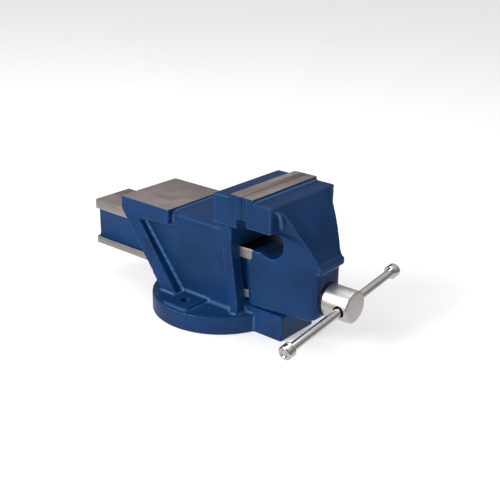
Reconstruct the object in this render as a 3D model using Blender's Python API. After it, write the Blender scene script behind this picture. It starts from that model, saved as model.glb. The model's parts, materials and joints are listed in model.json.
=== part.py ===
"""Engineer's bench vise with a fixed round base, an anvil and a sliding front jaw.

Units are metres and +Z is up. The origin is at the centre of the round base, on its underside.
+X points from the anvil towards the handle, and +Y runs along the jaws. The vise is shown closed.
"""

import math

import bmesh
import bpy
from mathutils import Matrix, Vector

# ---- overall sizes ---------------------------------------------------------------------------
JAW_WIDTH = 0.125
JAW_PLANE_X = 0.086
JAW_TOP_Z = 0.1845
BASE_RADIUS = 0.090
BASE_THICKNESS = 0.023
SPINDLE_Z = 0.061
JAW_TRAVEL = 0.125

# ---- clearances ------------------------------------------------------------------------------
SEAT_GAP = 0.0003
SLIDE_CLEARANCE = 0.0005
THREAD_CLEARANCE = 0.0005
CLOSED_GAP = 0.0004
THREAD_AXIAL_CLEARANCE = 0.0003

# ---- how finely round shapes are cut ---------------------------------------------------------
ROUND_STEPS = 32
FINE_STEPS = 48
BASE_STEPS = 72
SMALL_STEPS = 24
PIN_STEPS = 16
THREAD_STEPS = 16
HOOD_STEPS = 12
CORNER_STEPS = 5
COIL_STEPS = 20
WIRE_STEPS = 8
HEXAGON = 6
SMOOTH_ANGLE = math.radians(35)

# ---- jaw plates and their screws -------------------------------------------------------------
PLATE_THICKNESS = 0.007
PLATE_HEIGHT = 0.0285
SCREW_SPACING = 0.070
SCREW_SHANK_RADIUS = 0.003
SCREW_HEAD_RADIUS = 0.006
SCREW_HEAD_DEPTH = 0.0035
SCREW_RIM = 0.0004
SCREW_LENGTH = 0.020
SCREW_POINT_LENGTH = 0.0012
SCREW_POINT_TAPER = 0.0008
SCREW_FACE_DEPTH = 0.0006
SCREW_SOCKET_RADIUS = 0.0023
SCREW_SOCKET_DEPTH = 0.0022

# ---- jaw blocks ------------------------------------------------------------------------------
GROUND_STEP = 0.004
FIXED_RIDGE_DEPTH = 0.010
FIXED_BLOCK_DEPTH = 0.0364
FIXED_BLOCK_BOTTOM_Z = 0.1435
MOVING_RIDGE_DEPTH = 0.009
MOVING_BLOCK_DEPTH = 0.0355
MOVING_BLOCK_BOTTOM_Z = 0.1474

# ---- slide beam (part of the moving jaw) -----------------------------------------------------
BEAM_WIDTH = 0.0632
BEAM_TOP_Z = 0.1077
BEAM_BOTTOM_Z = 0.0425
BEAM_REAR_LENGTH = 0.292
TOP_FLANGE_THICKNESS = 0.0138
LOWER_FLANGE_THICKNESS = 0.0103
WEB_RECESS = 0.0061

# ---- fixed body ------------------------------------------------------------------------------
BASE_RIM = 0.002
TOWER_WALL = 0.0098
ANVIL_LENGTH = 0.0865
ANVIL_FRONT_X = -0.0445
ANVIL_WIDTH = 0.103
ANVIL_TOP_Z = 0.1345
ANVIL_REAR_THICKNESS = 0.0175
ANVIL_FRONT_THICKNESS = 0.020
NECK_TOP_Z = 0.131
NECK_CHAMFER = 0.006
LEG_FOOT_X = -0.054
LEG_STRIP_WIDTH = 0.027
LEG_FOOT_SPREAD = 0.006
FRONT_FACE_TOP_X = 0.058
FRONT_FACE_FOOT_X = 0.071
FRONT_SLOPE_TOP_Z = 0.105
FRONT_STRIP_DEPTH = 0.010
FRONT_STRIP_PROUD = 0.006
FRONT_STRIP_SPREAD = 0.003
FOOT_BLOCK_FRONT_X = 0.1267
FOOT_BLOCK_WIDTH = 0.066
FOOT_BLOCK_TOP_Z = 0.0327
PAD_CENTRE_X = -0.005
PAD_LENGTH = 0.040
PAD_RISE = 0.003
PAD_EDGE_INSET = 0.0035
BOLT_HOLE_RADIUS = 0.006
BOLT_HOLE_OFFSET_Y = 0.0632
POCKET_WIDTH = 0.048
POCKET_LENGTH = 0.044
RIB_HALF_LENGTH = 0.007
FLOOR_THICKNESS = 0.016
FLARE_HEIGHT = 0.015
BURIED = 0.008

# ---- moving jaw body -------------------------------------------------------------------------
NOSE_X = 0.1715
NOSE_WIDTH = 0.050
CHEEK_PROUD = 0.0014
BODY_SETBACK = 0.0095
FOOT_CLEARANCE = 0.002
WAIST_CLEARANCE = 0.0065
WAIST_STEP = 0.0003
BODY_BOTTOM_Z = 0.035
NOSE_CORNER = 0.012
EDGE_CORNER = 0.008
REAR_CORNER = 0.003
THROAT_RADIUS = 0.018
THROAT_CENTRE_X = 0.105
THROAT_CENTRE_Z = 0.121
FRONT_WALL_THICKNESS = 0.023
LIP_PROUD = 0.0035
LIP_TOP_Z = 0.109
LIP_HEIGHT = 0.0105
HOOD_BULGE_X = 0.153
HOOD_BULGE_Z = 0.152
HOOD_KNEE = 0.133
HOOD_KNEE_WIDTH = 0.096
HOOD_FADE = 0.9
HOOD_FADE_POWER = 0.85
GUSSET_REAR_WIDTH = 0.087
GUSSET_INSET = 0.004
GUSSET_SINK = 0.0006
GUSSET_TOP_POWER = 4
GUSSET_FOOT_POWER = 1.5
SHOULDER_X = 0.129
SHOULDER_Z = 0.133

# ---- lead screw ------------------------------------------------------------------------------
THREAD_RADIUS = 0.012
THREAD_DEPTH = 0.003
THREAD_PITCH = 0.006
THREAD_CREST = 0.0018
THREAD_ROOT = 0.0034
HEAD_RADIUS = 0.020
HEAD_LENGTH = 0.0357
HEAD_CHAMFER = 0.0025
THRUST_WASHER_THICKNESS = 0.0016
THRUST_WASHER_OVERHANG = 0.0008

# ---- nut, spring and collar ------------------------------------------------------------------
NUT_LENGTH = 0.040
NUT_CENTRE_X = 0.028
NUT_WALL = 0.0042
NUT_LUG_LENGTH = 0.024
NUT_LUG_WIDTH = 0.022
LUG_SETBACK = 0.0015
NUT_BOLT_RADIUS = 0.005
NUT_BOLT_THREAD = 0.017
NUT_BOLT_HEAD_RADIUS = 0.0085
NUT_BOLT_HEAD_HEIGHT = 0.0064
NUT_WASHER_RADIUS = 0.016
NUT_WASHER_THICKNESS = 0.0025
SPRING_WIRE_RADIUS = 0.0009
SPRING_TURNS = 5
SPRING_LENGTH = 0.016
WASHER_THICKNESS = 0.0016
WASHER_RIM = 0.0038
COLLAR_LENGTH = 0.010
COLLAR_RIM = 0.0042
PIN_RADIUS = 0.002
PIN_FIT = 0.00015

# ---- handle ----------------------------------------------------------------------------------
HANDLE_RADIUS = 0.00525
HANDLE_LENGTH = 0.228
HANDLE_TILT = math.radians(6.8)
HANDLE_OFFSET = -0.009
HANDLE_HOLE_CLEARANCE = 0.0005
HANDLE_FROM_FACE = 0.0107
KNOB_RADIUS = 0.0086
KNOB_LENGTH = 0.012
KNOB_CHAMFER = 0.0015
SPIGOT_RADIUS = 0.0036

# ---- places that follow from the sizes -------------------------------------------------------
FIXED_FACE_X = JAW_PLANE_X - PLATE_THICKNESS - SEAT_GAP
MOVING_FACE_X = JAW_PLANE_X + CLOSED_GAP + PLATE_THICKNESS + SEAT_GAP
PLATE_BOTTOM_Z = JAW_TOP_Z - PLATE_HEIGHT
SCREW_Z = JAW_TOP_Z - PLATE_HEIGHT / 2
BLOCK_TOP_Z = JAW_TOP_Z - GROUND_STEP
BEAM_HALF = BEAM_WIDTH / 2
TOWER_HALF = BEAM_HALF + SLIDE_CLEARANCE + TOWER_WALL
TUNNEL_BOTTOM_Z = BEAM_BOTTOM_Z - SLIDE_CLEARANCE
TUNNEL_TOP_Z = BEAM_TOP_Z + SLIDE_CLEARANCE
POCKET_TOP_Z = TUNNEL_BOTTOM_Z - FLOOR_THICKNESS
BODY_REAR_X = JAW_PLANE_X - BODY_SETBACK
BEAM_REAR_X = JAW_PLANE_X - BEAM_REAR_LENGTH
NUT_HALF = THREAD_RADIUS + THREAD_CLEARANCE + NUT_WALL
CHANNEL_HALF = NUT_HALF + SLIDE_CLEARANCE
CHANNEL_TOP_Z = SPINDLE_Z + NUT_HALF + SLIDE_CLEARANCE
FRONT_WALL_X = NOSE_X - FRONT_WALL_THICKNESS
THREAD_CORE = THREAD_RADIUS - THREAD_DEPTH
HEAD_REAR_X = NOSE_X + THRUST_WASHER_THICKNESS + 2 * SEAT_GAP
HEAD_FACE_X = HEAD_REAR_X + HEAD_LENGTH
HANDLE_X = HEAD_FACE_X - HANDLE_FROM_FACE
SPINDLE_REAR_X = NUT_CENTRE_X - NUT_LENGTH / 2 - JAW_TRAVEL - 2 * THREAD_PITCH
JOURNAL_RADIUS = THREAD_RADIUS
THREAD_FRONT_X = FRONT_WALL_X - SPRING_LENGTH - COLLAR_LENGTH - WASHER_THICKNESS - THREAD_PITCH
PAD_TOP_Z = BASE_THICKNESS + PAD_RISE
ANVIL_REAR_X = ANVIL_FRONT_X - ANVIL_LENGTH
LEG_TOP_Z = ANVIL_TOP_Z - ANVIL_REAR_THICKNESS
MOVING_FRONT_X = MOVING_FACE_X + MOVING_BLOCK_DEPTH
SPINDLE_TURNS = int((THREAD_FRONT_X - SPINDLE_REAR_X) / THREAD_PITCH) - 2


# ---- materials -------------------------------------------------------------------------------
def make_material(name, colour, roughness, metallic):
    """One Principled material."""
    material = bpy.data.materials.new(name)
    material.use_nodes = True
    shader = material.node_tree.nodes["Principled BSDF"]
    shader.inputs["Base Color"].default_value = (*colour, 1.0)
    shader.inputs["Roughness"].default_value = roughness
    shader.inputs["Metallic"].default_value = metallic
    material.diffuse_color = (*colour, 1.0)
    return material


# ---- basic solids ----------------------------------------------------------------------------
def mesh_object(name, bm):
    """Turn a bmesh into a linked object with outward faces."""
    bmesh.ops.recalc_face_normals(bm, faces=bm.faces)
    mesh = bpy.data.meshes.new(name)
    bm.to_mesh(mesh)
    bm.free()
    obj = bpy.data.objects.new(name, mesh)
    bpy.context.scene.collection.objects.link(obj)
    return obj


def loft(name, rings):
    """A closed solid through rings that all have the same number of points."""
    bm = bmesh.new()
    rows = [[bm.verts.new(point) for point in ring] for ring in rings]
    count = len(rows[0])
    bm.faces.new(rows[0])
    bm.faces.new(rows[-1])
    for near, far in zip(rows, rows[1:]):
        for i in range(count):
            j = (i + 1) % count
            bm.faces.new((near[i], near[j], far[j], far[i]))
    return mesh_object(name, bm)


def box(name, x_range, y_range, z_range):
    """An axis-aligned block."""
    near, far = y_range
    outline = [(x_range[0], near), (x_range[1], near), (x_range[1], far), (x_range[0], far)]
    return loft(name, [[(x, y, z) for x, y in outline] for z in z_range])


def prism_y(name, outline, half_width):
    """An outline in the XZ plane, extruded equally to both sides of the middle plane."""
    return loft(name, [[(x, y, z) for x, z in outline] for y in (-half_width, half_width)])


def prism_x(name, outline, x_range):
    """An outline in the YZ plane, extruded along X."""
    return loft(name, [[(x, y, z) for y, z in outline] for x in x_range])


def turned(name, profile, steps=ROUND_STEPS):
    """A solid of revolution about the local X axis, from (x, radius) points."""
    rings = []
    for x, radius in profile:
        angles = [2 * math.pi * i / steps for i in range(steps)]
        rings.append([(x, radius * math.cos(a), radius * math.sin(a)) for a in angles])
    return loft(name, rings)


def upright(name, profile, steps=ROUND_STEPS):
    """A solid of revolution about the local Z axis, from (z, radius) points."""
    obj = turned(name, profile, steps)
    obj.data.transform(Matrix.Rotation(-math.pi / 2, 4, "Y"))
    return obj


def cross_rod(name, radius, length, steps=ROUND_STEPS):
    """A cylinder along the local Y axis, centred on the origin."""
    obj = turned(name, [(-length / 2, radius), (length / 2, radius)], steps)
    obj.data.transform(Matrix.Rotation(math.pi / 2, 4, "Z"))
    return obj


def move(obj, x=0.0, y=0.0, z=0.0):
    """Shift an object's mesh."""
    obj.data.transform(Matrix.Translation((x, y, z)))
    return obj


def tilt(obj, angle):
    """Turn an object's mesh about the X axis."""
    obj.data.transform(Matrix.Rotation(angle, 4, "X"))
    return obj


def combine(target, tools, operation):
    """Join the tools to the target, or cut them from it, and delete the tools."""
    for tool in tools:
        modifier = target.modifiers.new("Combine", "BOOLEAN")
        modifier.operation = operation
        modifier.object = tool
        modifier.solver = "EXACT"
        bpy.context.view_layer.update()
        evaluated = target.evaluated_get(bpy.context.evaluated_depsgraph_get())
        mesh = bpy.data.meshes.new_from_object(evaluated)
        target.modifiers.clear()
        target.data = mesh
        mesh.name = target.name
        bpy.data.objects.remove(tool)
    return target


def join(target, tools):
    """Boolean union."""
    return combine(target, tools, "UNION")


def cut(target, tools):
    """Boolean difference."""
    return combine(target, tools, "DIFFERENCE")


def finish(obj, material, round_shaded=False):
    """Give the object its material and its shading."""
    obj.data.materials.clear()
    obj.data.materials.append(material)
    if round_shaded:
        obj.data.shade_smooth()
        obj.data.set_sharp_from_angle(angle=SMOOTH_ANGLE)
    return obj


def set_origin(obj, point):
    """Put the object's origin on a point of its joint's axis, leaving its shape in place."""
    obj.data.transform(Matrix.Translation(-Vector(point)))
    obj.location = point
    return obj


# ---- thread ----------------------------------------------------------------------------------
def fan(bm, apex, edge_points):
    """Triangles from one point to each stretch of a broken line."""
    for here, after in zip(edge_points, edge_points[1:]):
        bm.faces.new((apex, here, after))


def threaded_rod(name, core, crest, extra_width, x_start, turns):
    """A right-hand threaded rod along X: one spiral ridge on a core, with a plain pitch at each end."""
    half_root = (THREAD_ROOT + extra_width) / 2
    half_crest = (THREAD_CREST + extra_width) / 2
    profile = [(-half_root, core), (-half_crest, crest), (half_crest, crest), (half_root, core)]
    bm = bmesh.new()

    def point(x, radius, index):
        angle = 2 * math.pi * index / THREAD_STEPS
        return bm.verts.new((x, radius * math.cos(angle), radius * math.sin(angle)))

    last = turns * THREAD_STEPS
    rows = []
    for index in range(last + 1):
        middle = x_start + THREAD_PITCH * (1 + index / THREAD_STEPS)
        rows.append([point(middle + dx, radius, index) for dx, radius in profile])
    x_end = x_start + THREAD_PITCH * (turns + 2)
    start_ring = [point(x_start, core, i) for i in range(THREAD_STEPS)]
    end_ring = [point(x_end, core, i) for i in range(THREAD_STEPS)]

    for near, far in zip(rows, rows[1:]):
        for i in range(3):
            bm.faces.new((near[i], near[i + 1], far[i + 1], far[i]))
    for index in range(last - THREAD_STEPS):
        lower = (rows[index][3], rows[index + 1][3])
        upper = (rows[index + THREAD_STEPS + 1][0], rows[index + THREAD_STEPS][0])
        bm.faces.new(lower + upper)
    for i in range(THREAD_STEPS - 1):
        bm.faces.new((start_ring[i], start_ring[i + 1], rows[i + 1][0], rows[i][0]))
    for i in range(1, THREAD_STEPS):
        tail = last - THREAD_STEPS + i
        after = end_ring[(i + 1) % THREAD_STEPS]
        bm.faces.new((end_ring[i], after, rows[tail + 1][3], rows[tail][3]))
    first_step = [start_ring[0], rows[0][0], rows[0][3], rows[THREAD_STEPS][0], rows[THREAD_STEPS - 1][0]]
    fan(bm, start_ring[-1], first_step)
    final_turn = last - THREAD_STEPS
    last_step = [end_ring[0], rows[last][3], rows[last][0], rows[final_turn][3], rows[final_turn + 1][3]]
    fan(bm, end_ring[1], last_step)
    for cap in (rows[0], rows[last], start_ring, end_ring):
        bm.faces.new(cap)
    return mesh_object(name, bm)


# ---- fixed body ------------------------------------------------------------------------------
def leg_x(z):
    """Where the sloping rear face of the body is at a height."""
    rise = (z - BASE_THICKNESS) / (LEG_TOP_Z - BASE_THICKNESS)
    return LEG_FOOT_X + (ANVIL_REAR_X - LEG_FOOT_X) * rise


def front_x(z):
    """Where the front face of the body is at a height."""
    rise = (z - BASE_THICKNESS) / (FRONT_SLOPE_TOP_Z - BASE_THICKNESS)
    rise = min(max(rise, 0.0), 1.0)
    return FRONT_FACE_FOOT_X + (FRONT_FACE_TOP_X - FRONT_FACE_FOOT_X) * rise


def tower():
    """The body's middle part, which the beam slides through."""
    foot_z = BASE_THICKNESS - BURIED
    outline = [
        (leg_x(foot_z), foot_z),
        (leg_x(LEG_TOP_Z), LEG_TOP_Z),
        (ANVIL_REAR_X + BURIED, NECK_TOP_Z),
        (front_x(NECK_TOP_Z), NECK_TOP_Z),
        (front_x(FRONT_SLOPE_TOP_Z), FRONT_SLOPE_TOP_Z),
        (front_x(BASE_THICKNESS), BASE_THICKNESS),
        (front_x(BASE_THICKNESS), foot_z)]
    body = prism_y("fixed_jaw_body", outline, TOWER_HALF)
    tools = []
    for side in (-1, 1):
        edge = side * TOWER_HALF
        outer = edge + side * BURIED
        corner = [
            (edge - side * NECK_CHAMFER, NECK_TOP_Z + BURIED),
            (edge - side * NECK_CHAMFER, NECK_TOP_Z),
            (edge, NECK_TOP_Z - NECK_CHAMFER),
            (outer, NECK_TOP_Z - NECK_CHAMFER),
            (outer, NECK_TOP_Z + BURIED)]
        tools.append(prism_x("chamfer_tool", corner, (ANVIL_REAR_X - BURIED, FRONT_FACE_FOOT_X)))
    return cut(body, tools)


def anvil():
    """The flat-topped block at the rear."""
    outline = [
        (ANVIL_REAR_X, ANVIL_TOP_Z),
        (ANVIL_REAR_X, LEG_TOP_Z),
        (leg_x(LEG_TOP_Z - BURIED), LEG_TOP_Z - BURIED),
        (ANVIL_FRONT_X, ANVIL_TOP_Z - ANVIL_FRONT_THICKNESS),
        (ANVIL_FRONT_X, ANVIL_TOP_Z)]
    return prism_y("anvil_tool", outline, ANVIL_WIDTH / 2)


def strip(x_of_z, depth, heights_and_widths, side):
    """A raised strip on one side of the tower, following a sloping edge."""
    inner = side * (TOWER_HALF - BURIED)
    rings = []
    for z, half_width in heights_and_widths:
        x = x_of_z(z)
        outer = side * half_width
        rings.append([(x, inner, z), (x + depth, inner, z), (x + depth, outer, z), (x, outer, z)])
    return loft("strip_tool", rings)


def side_strips():
    """The two diagonal legs under the anvil and the two strips beside the front face."""
    foot_z = BASE_THICKNESS - BURIED
    leg_half = ANVIL_WIDTH / 2
    legs = [(foot_z, leg_half + LEG_FOOT_SPREAD), (LEG_TOP_Z - BURIED / 2, leg_half)]
    front_half = TOWER_HALF + FRONT_STRIP_PROUD
    fronts = [
        (foot_z, front_half + FRONT_STRIP_SPREAD),
        (BASE_THICKNESS + FLARE_HEIGHT, front_half),
        (FRONT_SLOPE_TOP_Z, front_half),
        (FIXED_BLOCK_BOTTOM_Z - FLARE_HEIGHT / 3, front_half)]
    tools = []
    for side in (-1, 1):
        tools.append(strip(leg_x, LEG_STRIP_WIDTH, legs, side))
        tools.append(strip(lambda z: front_x(z) - FRONT_STRIP_DEPTH, FRONT_STRIP_DEPTH, fronts, side))
    return tools


def fixed_block():
    """The rear jaw's block, with the ground ridge behind its plate and the flare below it."""
    rear = FIXED_FACE_X - FIXED_BLOCK_DEPTH
    ridge = FIXED_FACE_X - FIXED_RIDGE_DEPTH
    outline = [
        (rear, FIXED_BLOCK_BOTTOM_Z),
        (FIXED_FACE_X, FIXED_BLOCK_BOTTOM_Z),
        (FIXED_FACE_X, JAW_TOP_Z),
        (ridge, JAW_TOP_Z),
        (ridge, BLOCK_TOP_Z),
        (rear, BLOCK_TOP_Z)]
    block = prism_y("block_tool", outline, JAW_WIDTH / 2)
    wide = JAW_WIDTH / 2
    low = FIXED_BLOCK_BOTTOM_Z - FLARE_HEIGHT
    flare = [
        (-wide, FIXED_BLOCK_BOTTOM_Z + BURIED / 4),
        (-wide, FIXED_BLOCK_BOTTOM_Z),
        (-TOWER_HALF, low),
        (TOWER_HALF, low),
        (wide, FIXED_BLOCK_BOTTOM_Z),
        (wide, FIXED_BLOCK_BOTTOM_Z + BURIED / 4)]
    return [block, prism_x("flare_tool", flare, (rear, front_x(NECK_TOP_Z)))]


def base():
    """The round foot, its two raised bolt pads and the block in front of it."""
    disc = upright("base_tool", [
        (0.0, BASE_RADIUS - BASE_RIM / 2),
        (BASE_RIM / 2, BASE_RADIUS),
        (BASE_THICKNESS - BASE_RIM, BASE_RADIUS),
        (BASE_THICKNESS, BASE_RADIUS - BASE_RIM)], steps=BASE_STEPS)
    pad_x = (PAD_CENTRE_X - PAD_LENGTH / 2, PAD_CENTRE_X + PAD_LENGTH / 2)
    reach = math.sqrt(BASE_RADIUS ** 2 - max(abs(pad_x[0]), abs(pad_x[1])) ** 2) - PAD_EDGE_INSET
    pads = []
    for side in (-1, 1):
        pad_y = sorted((side * reach, side * (TOWER_HALF - BURIED)))
        pads.append(box("pad_tool", pad_x, pad_y, (BURIED, PAD_TOP_Z)))
    half = FOOT_BLOCK_WIDTH / 2
    block = box("foot_tool", (BASE_RADIUS / 2, FOOT_BLOCK_FRONT_X), (-half, half), (0.0, FOOT_BLOCK_TOP_Z))
    return [disc, block] + pads


def body_openings():
    """The slide tunnel, the bolt holes, the nut's slot and the pockets under the floor."""
    half = BEAM_HALF + SLIDE_CLEARANCE
    tunnel_x = (ANVIL_REAR_X - BURIED, JAW_PLANE_X)
    tools = [box("tunnel_tool", tunnel_x, (-half, half), (TUNNEL_BOTTOM_Z, TUNNEL_TOP_Z))]
    for side in (-1, 1):
        hole = upright("bolt_tool", [(-BURIED, BOLT_HOLE_RADIUS), (PAD_TOP_Z + BURIED, BOLT_HOLE_RADIUS)])
        tools.append(move(hole, PAD_CENTRE_X, side * BOLT_HOLE_OFFSET_Y))
    slot_x = NUT_LUG_LENGTH / 2 + SEAT_GAP
    slot_y = NUT_LUG_WIDTH / 2 + SEAT_GAP
    slot_z = (POCKET_TOP_Z - BURIED, TUNNEL_BOTTOM_Z + BURIED)
    tools.append(box("slot_tool", (NUT_CENTRE_X - slot_x, NUT_CENTRE_X + slot_x), (-slot_y, slot_y), slot_z))
    pocket_y = (-POCKET_WIDTH / 2, POCKET_WIDTH / 2)
    for x_middle in (NUT_CENTRE_X, -RIB_HALF_LENGTH - POCKET_LENGTH / 2):
        pocket_x = (x_middle - POCKET_LENGTH / 2, x_middle + POCKET_LENGTH / 2)
        tools.append(box("pocket_tool", pocket_x, pocket_y, (-BURIED, POCKET_TOP_Z)))
    return tools + screw_holes(FIXED_FACE_X, -1)


def build_fixed_body(material):
    """The cast body: base, tower, anvil and rear jaw block in one piece."""
    body = join(tower(), [anvil()] + side_strips() + fixed_block() + base())
    return finish(cut(body, body_openings()), material)


# ---- jaw plates and screws -------------------------------------------------------------------
def screw_places():
    """The two screw centres of a jaw plate."""
    return [(side * SCREW_SPACING / 2, SCREW_Z) for side in (-1, 1)]


def screw_holes(face_x, direction):
    """Blind holes for the plate screws, into a block's face."""
    depth = SCREW_LENGTH - PLATE_THICKNESS + SEAT_GAP
    tools = []
    for y, z in screw_places():
        ends = sorted((face_x - direction * BURIED, face_x + direction * depth))
        hole = turned("hole_tool", [(x, SCREW_SHANK_RADIUS + SEAT_GAP) for x in ends])
        tools.append(move(hole, 0.0, y, z))
    return tools


def build_plate(name, face_x, direction, material):
    """A hardened jaw plate; direction points from its gripping face into its jaw."""
    back_x = face_x + direction * PLATE_THICKNESS
    half = JAW_WIDTH / 2
    plate = box(name, sorted((face_x, back_x)), (-half, half), (PLATE_BOTTOM_Z, JAW_TOP_Z))
    head = SCREW_HEAD_RADIUS + SEAT_GAP
    shank = SCREW_SHANK_RADIUS + SEAT_GAP
    cone_start = SCREW_FACE_DEPTH + SCREW_RIM
    cone_end = SCREW_FACE_DEPTH + SCREW_HEAD_DEPTH
    steps = [(-BURIED, head), (cone_start, head), (cone_end, shank), (PLATE_THICKNESS + BURIED, shank)]
    tools = []
    for y, z in screw_places():
        profile = [(face_x + direction * x, radius) for x, radius in steps]
        tools.append(move(turned("countersink_tool", profile), 0.0, y, z))
    return finish(cut(plate, tools), material)


def build_screw(name, face_x, direction, place, material):
    """A countersunk socket screw that holds a jaw plate."""
    top = face_x + direction * SCREW_FACE_DEPTH
    steps = [
        (0.0, SCREW_HEAD_RADIUS),
        (SCREW_RIM, SCREW_HEAD_RADIUS),
        (SCREW_HEAD_DEPTH, SCREW_SHANK_RADIUS),
        (SCREW_LENGTH - SCREW_POINT_LENGTH, SCREW_SHANK_RADIUS),
        (SCREW_LENGTH - SEAT_GAP - SCREW_FACE_DEPTH, SCREW_SHANK_RADIUS - SCREW_POINT_TAPER)]
    screw = turned(name, [(top + direction * x, radius) for x, radius in steps], steps=SMALL_STEPS)
    socket_ends = (top - direction * BURIED, top + direction * SCREW_SOCKET_DEPTH)
    socket = turned("socket_tool", [(x, SCREW_SOCKET_RADIUS) for x in socket_ends], steps=HEXAGON)
    return finish(move(cut(screw, [socket]), 0.0, *place), material, round_shaded=True)


# ---- moving jaw ------------------------------------------------------------------------------
def arc(centre, radius, start, end, steps):
    """Points along an arc, angles in degrees."""
    points = []
    for i in range(steps + 1):
        angle = math.radians(start + (end - start) * i / steps)
        points.append((centre[0] + radius * math.cos(angle), centre[1] + radius * math.sin(angle)))
    return points


def beam():
    """The slide: an upside-down channel with machined flanges above and below."""
    web = BEAM_HALF - WEB_RECESS
    low = BEAM_BOTTOM_Z + LOWER_FLANGE_THICKNESS
    high = BEAM_TOP_Z - TOP_FLANGE_THICKNESS
    half_outline = [
        (CHANNEL_HALF, CHANNEL_TOP_Z),
        (CHANNEL_HALF, BEAM_BOTTOM_Z),
        (BEAM_HALF, BEAM_BOTTOM_Z),
        (BEAM_HALF, low),
        (web, low),
        (web, high),
        (BEAM_HALF, high),
        (BEAM_HALF, BEAM_TOP_Z)]
    outline = half_outline + [(-y, z) for y, z in reversed(half_outline)]
    return prism_x("moving_jaw", outline, (BEAM_REAR_X, BODY_REAR_X + EDGE_CORNER))


def lower_half(x):
    """Half the width of the lower body, which tapers to the nose."""
    rear = BEAM_HALF + CHEEK_PROUD
    return rear + (NOSE_WIDTH / 2 - rear) * (x - BODY_REAR_X) / (NOSE_X - BODY_REAR_X)


def lower_plan(rear_x, corner, z):
    """The lower body's outline at a height, with rounded corners, from its rear face to the nose."""
    rear_centre = (rear_x + corner, corner - lower_half(rear_x + corner))
    nose_centre = (NOSE_X - EDGE_CORNER, EDGE_CORNER - lower_half(NOSE_X - EDGE_CORNER))
    right = arc(rear_centre, corner, 180, 270, CORNER_STEPS)
    right += arc(nose_centre, EDGE_CORNER, 270, 360, CORNER_STEPS)
    return [(x, y, z) for x, y in right] + [(x, -y, z) for x, y in reversed(right)]


def jaw_lower_body():
    """The block around the lead screw, tapered to the nose; its rear face leans like the body's front."""
    waist_z = BEAM_TOP_Z - TOP_FLANGE_THICKNESS
    foot_x = front_x(BODY_BOTTOM_Z) + FOOT_CLEARANCE
    waist_x = front_x(waist_z) + WAIST_CLEARANCE
    block = loft("lower_tool", [
        lower_plan(foot_x, EDGE_CORNER, BODY_BOTTOM_Z),
        lower_plan(waist_x, EDGE_CORNER, waist_z),
        lower_plan(BODY_REAR_X, REAR_CORNER, waist_z + WAIST_STEP),
        lower_plan(BODY_REAR_X, REAR_CORNER, SHOULDER_Z + BURIED)])
    back_x = FRONT_FACE_TOP_X
    side = [(back_x, BODY_BOTTOM_Z - BURIED), (NOSE_X - NOSE_CORNER, BODY_BOTTOM_Z - BURIED)]
    side += arc((NOSE_X - NOSE_CORNER, BODY_BOTTOM_Z + NOSE_CORNER), NOSE_CORNER, 270, 360, CORNER_STEPS)
    side += [
        (NOSE_X, LIP_TOP_Z),
        (SHOULDER_X, SHOULDER_Z),
        (THROAT_CENTRE_X, SHOULDER_Z),
        (THROAT_CENTRE_X, BEAM_TOP_Z),
        (back_x, BEAM_TOP_Z)]
    limit = prism_y("limit_tool", side, BEAM_WIDTH)
    return combine(block, [limit], "INTERSECT")


def hood_point(t):
    """The hood's middle line from the head (t=0) to the lip (t=1), and its half width there."""
    start = (MOVING_FRONT_X, BLOCK_TOP_Z)
    bulge = (HOOD_BULGE_X, HOOD_BULGE_Z)
    end = (NOSE_X, LIP_TOP_Z)
    weights = ((1 - t) ** 2, 2 * t * (1 - t), t * t)
    x, z = (sum(w * p[k] for w, p in zip(weights, (start, bulge, end))) for k in (0, 1))
    knee = HOOD_KNEE_WIDTH / 2
    if t < HOOD_KNEE:
        return x, z, JAW_WIDTH / 2 + (knee - JAW_WIDTH / 2) * t / HOOD_KNEE
    nose = NOSE_WIDTH / 2
    fade = max(0.0, 1 - (t - HOOD_KNEE) / (1 - HOOD_KNEE) / HOOD_FADE)
    return x, z, nose + (knee - nose) * fade ** HOOD_FADE_POWER


def gusset_rear_half(z):
    """Half the gusset's width where it meets the head, or the lower body further down."""
    rear = GUSSET_REAR_WIDTH / 2
    if z > MOVING_BLOCK_BOTTOM_Z:
        rise = (z - MOVING_BLOCK_BOTTOM_Z) / (BLOCK_TOP_Z - MOVING_BLOCK_BOTTOM_Z)
        return rear + (JAW_WIDTH / 2 - rear) * rise ** GUSSET_TOP_POWER
    low = lower_half(MOVING_FRONT_X - GUSSET_INSET) - GUSSET_SINK
    rise = max(0.0, (z - SHOULDER_Z) / (MOVING_BLOCK_BOTTOM_Z - SHOULDER_Z))
    return low + (rear - low) * rise ** GUSSET_FOOT_POWER


def gusset():
    """The solid under the bulging hood, between the head, the lower body and the lip."""
    places = [HOOD_KNEE * i / 2 for i in range(2)]
    places += [HOOD_KNEE + (1 - HOOD_KNEE) * i / HOOD_STEPS for i in range(HOOD_STEPS + 1)]
    middle_x = MOVING_FRONT_X - GUSSET_INSET
    rings = []
    for t in places:
        x, z, half = hood_point(t)
        rear = gusset_rear_half(z)
        tail = max(rear, lower_half(THROAT_CENTRE_X) - GUSSET_SINK)
        right = [(THROAT_CENTRE_X, -tail), (middle_x, -rear), (x, -half)]
        rings.append([(x, y, z) for x, y in right + [(x, -y) for x, y in reversed(right)]])
    return loft("gusset_tool", rings)


def lip():
    """The rounded bar across the front, above the screw."""
    middle_z = LIP_TOP_Z - LIP_HEIGHT / 2
    nose = [(NOSE_X - BURIED, LIP_TOP_Z - LIP_HEIGHT)]
    nose += arc((NOSE_X + LIP_PROUD - LIP_HEIGHT / 2, middle_z), LIP_HEIGHT / 2, 270, 450, 2 * CORNER_STEPS)
    nose.append((NOSE_X - BURIED, LIP_TOP_Z))
    return prism_y("lip_tool", nose, NOSE_WIDTH / 2)


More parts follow.
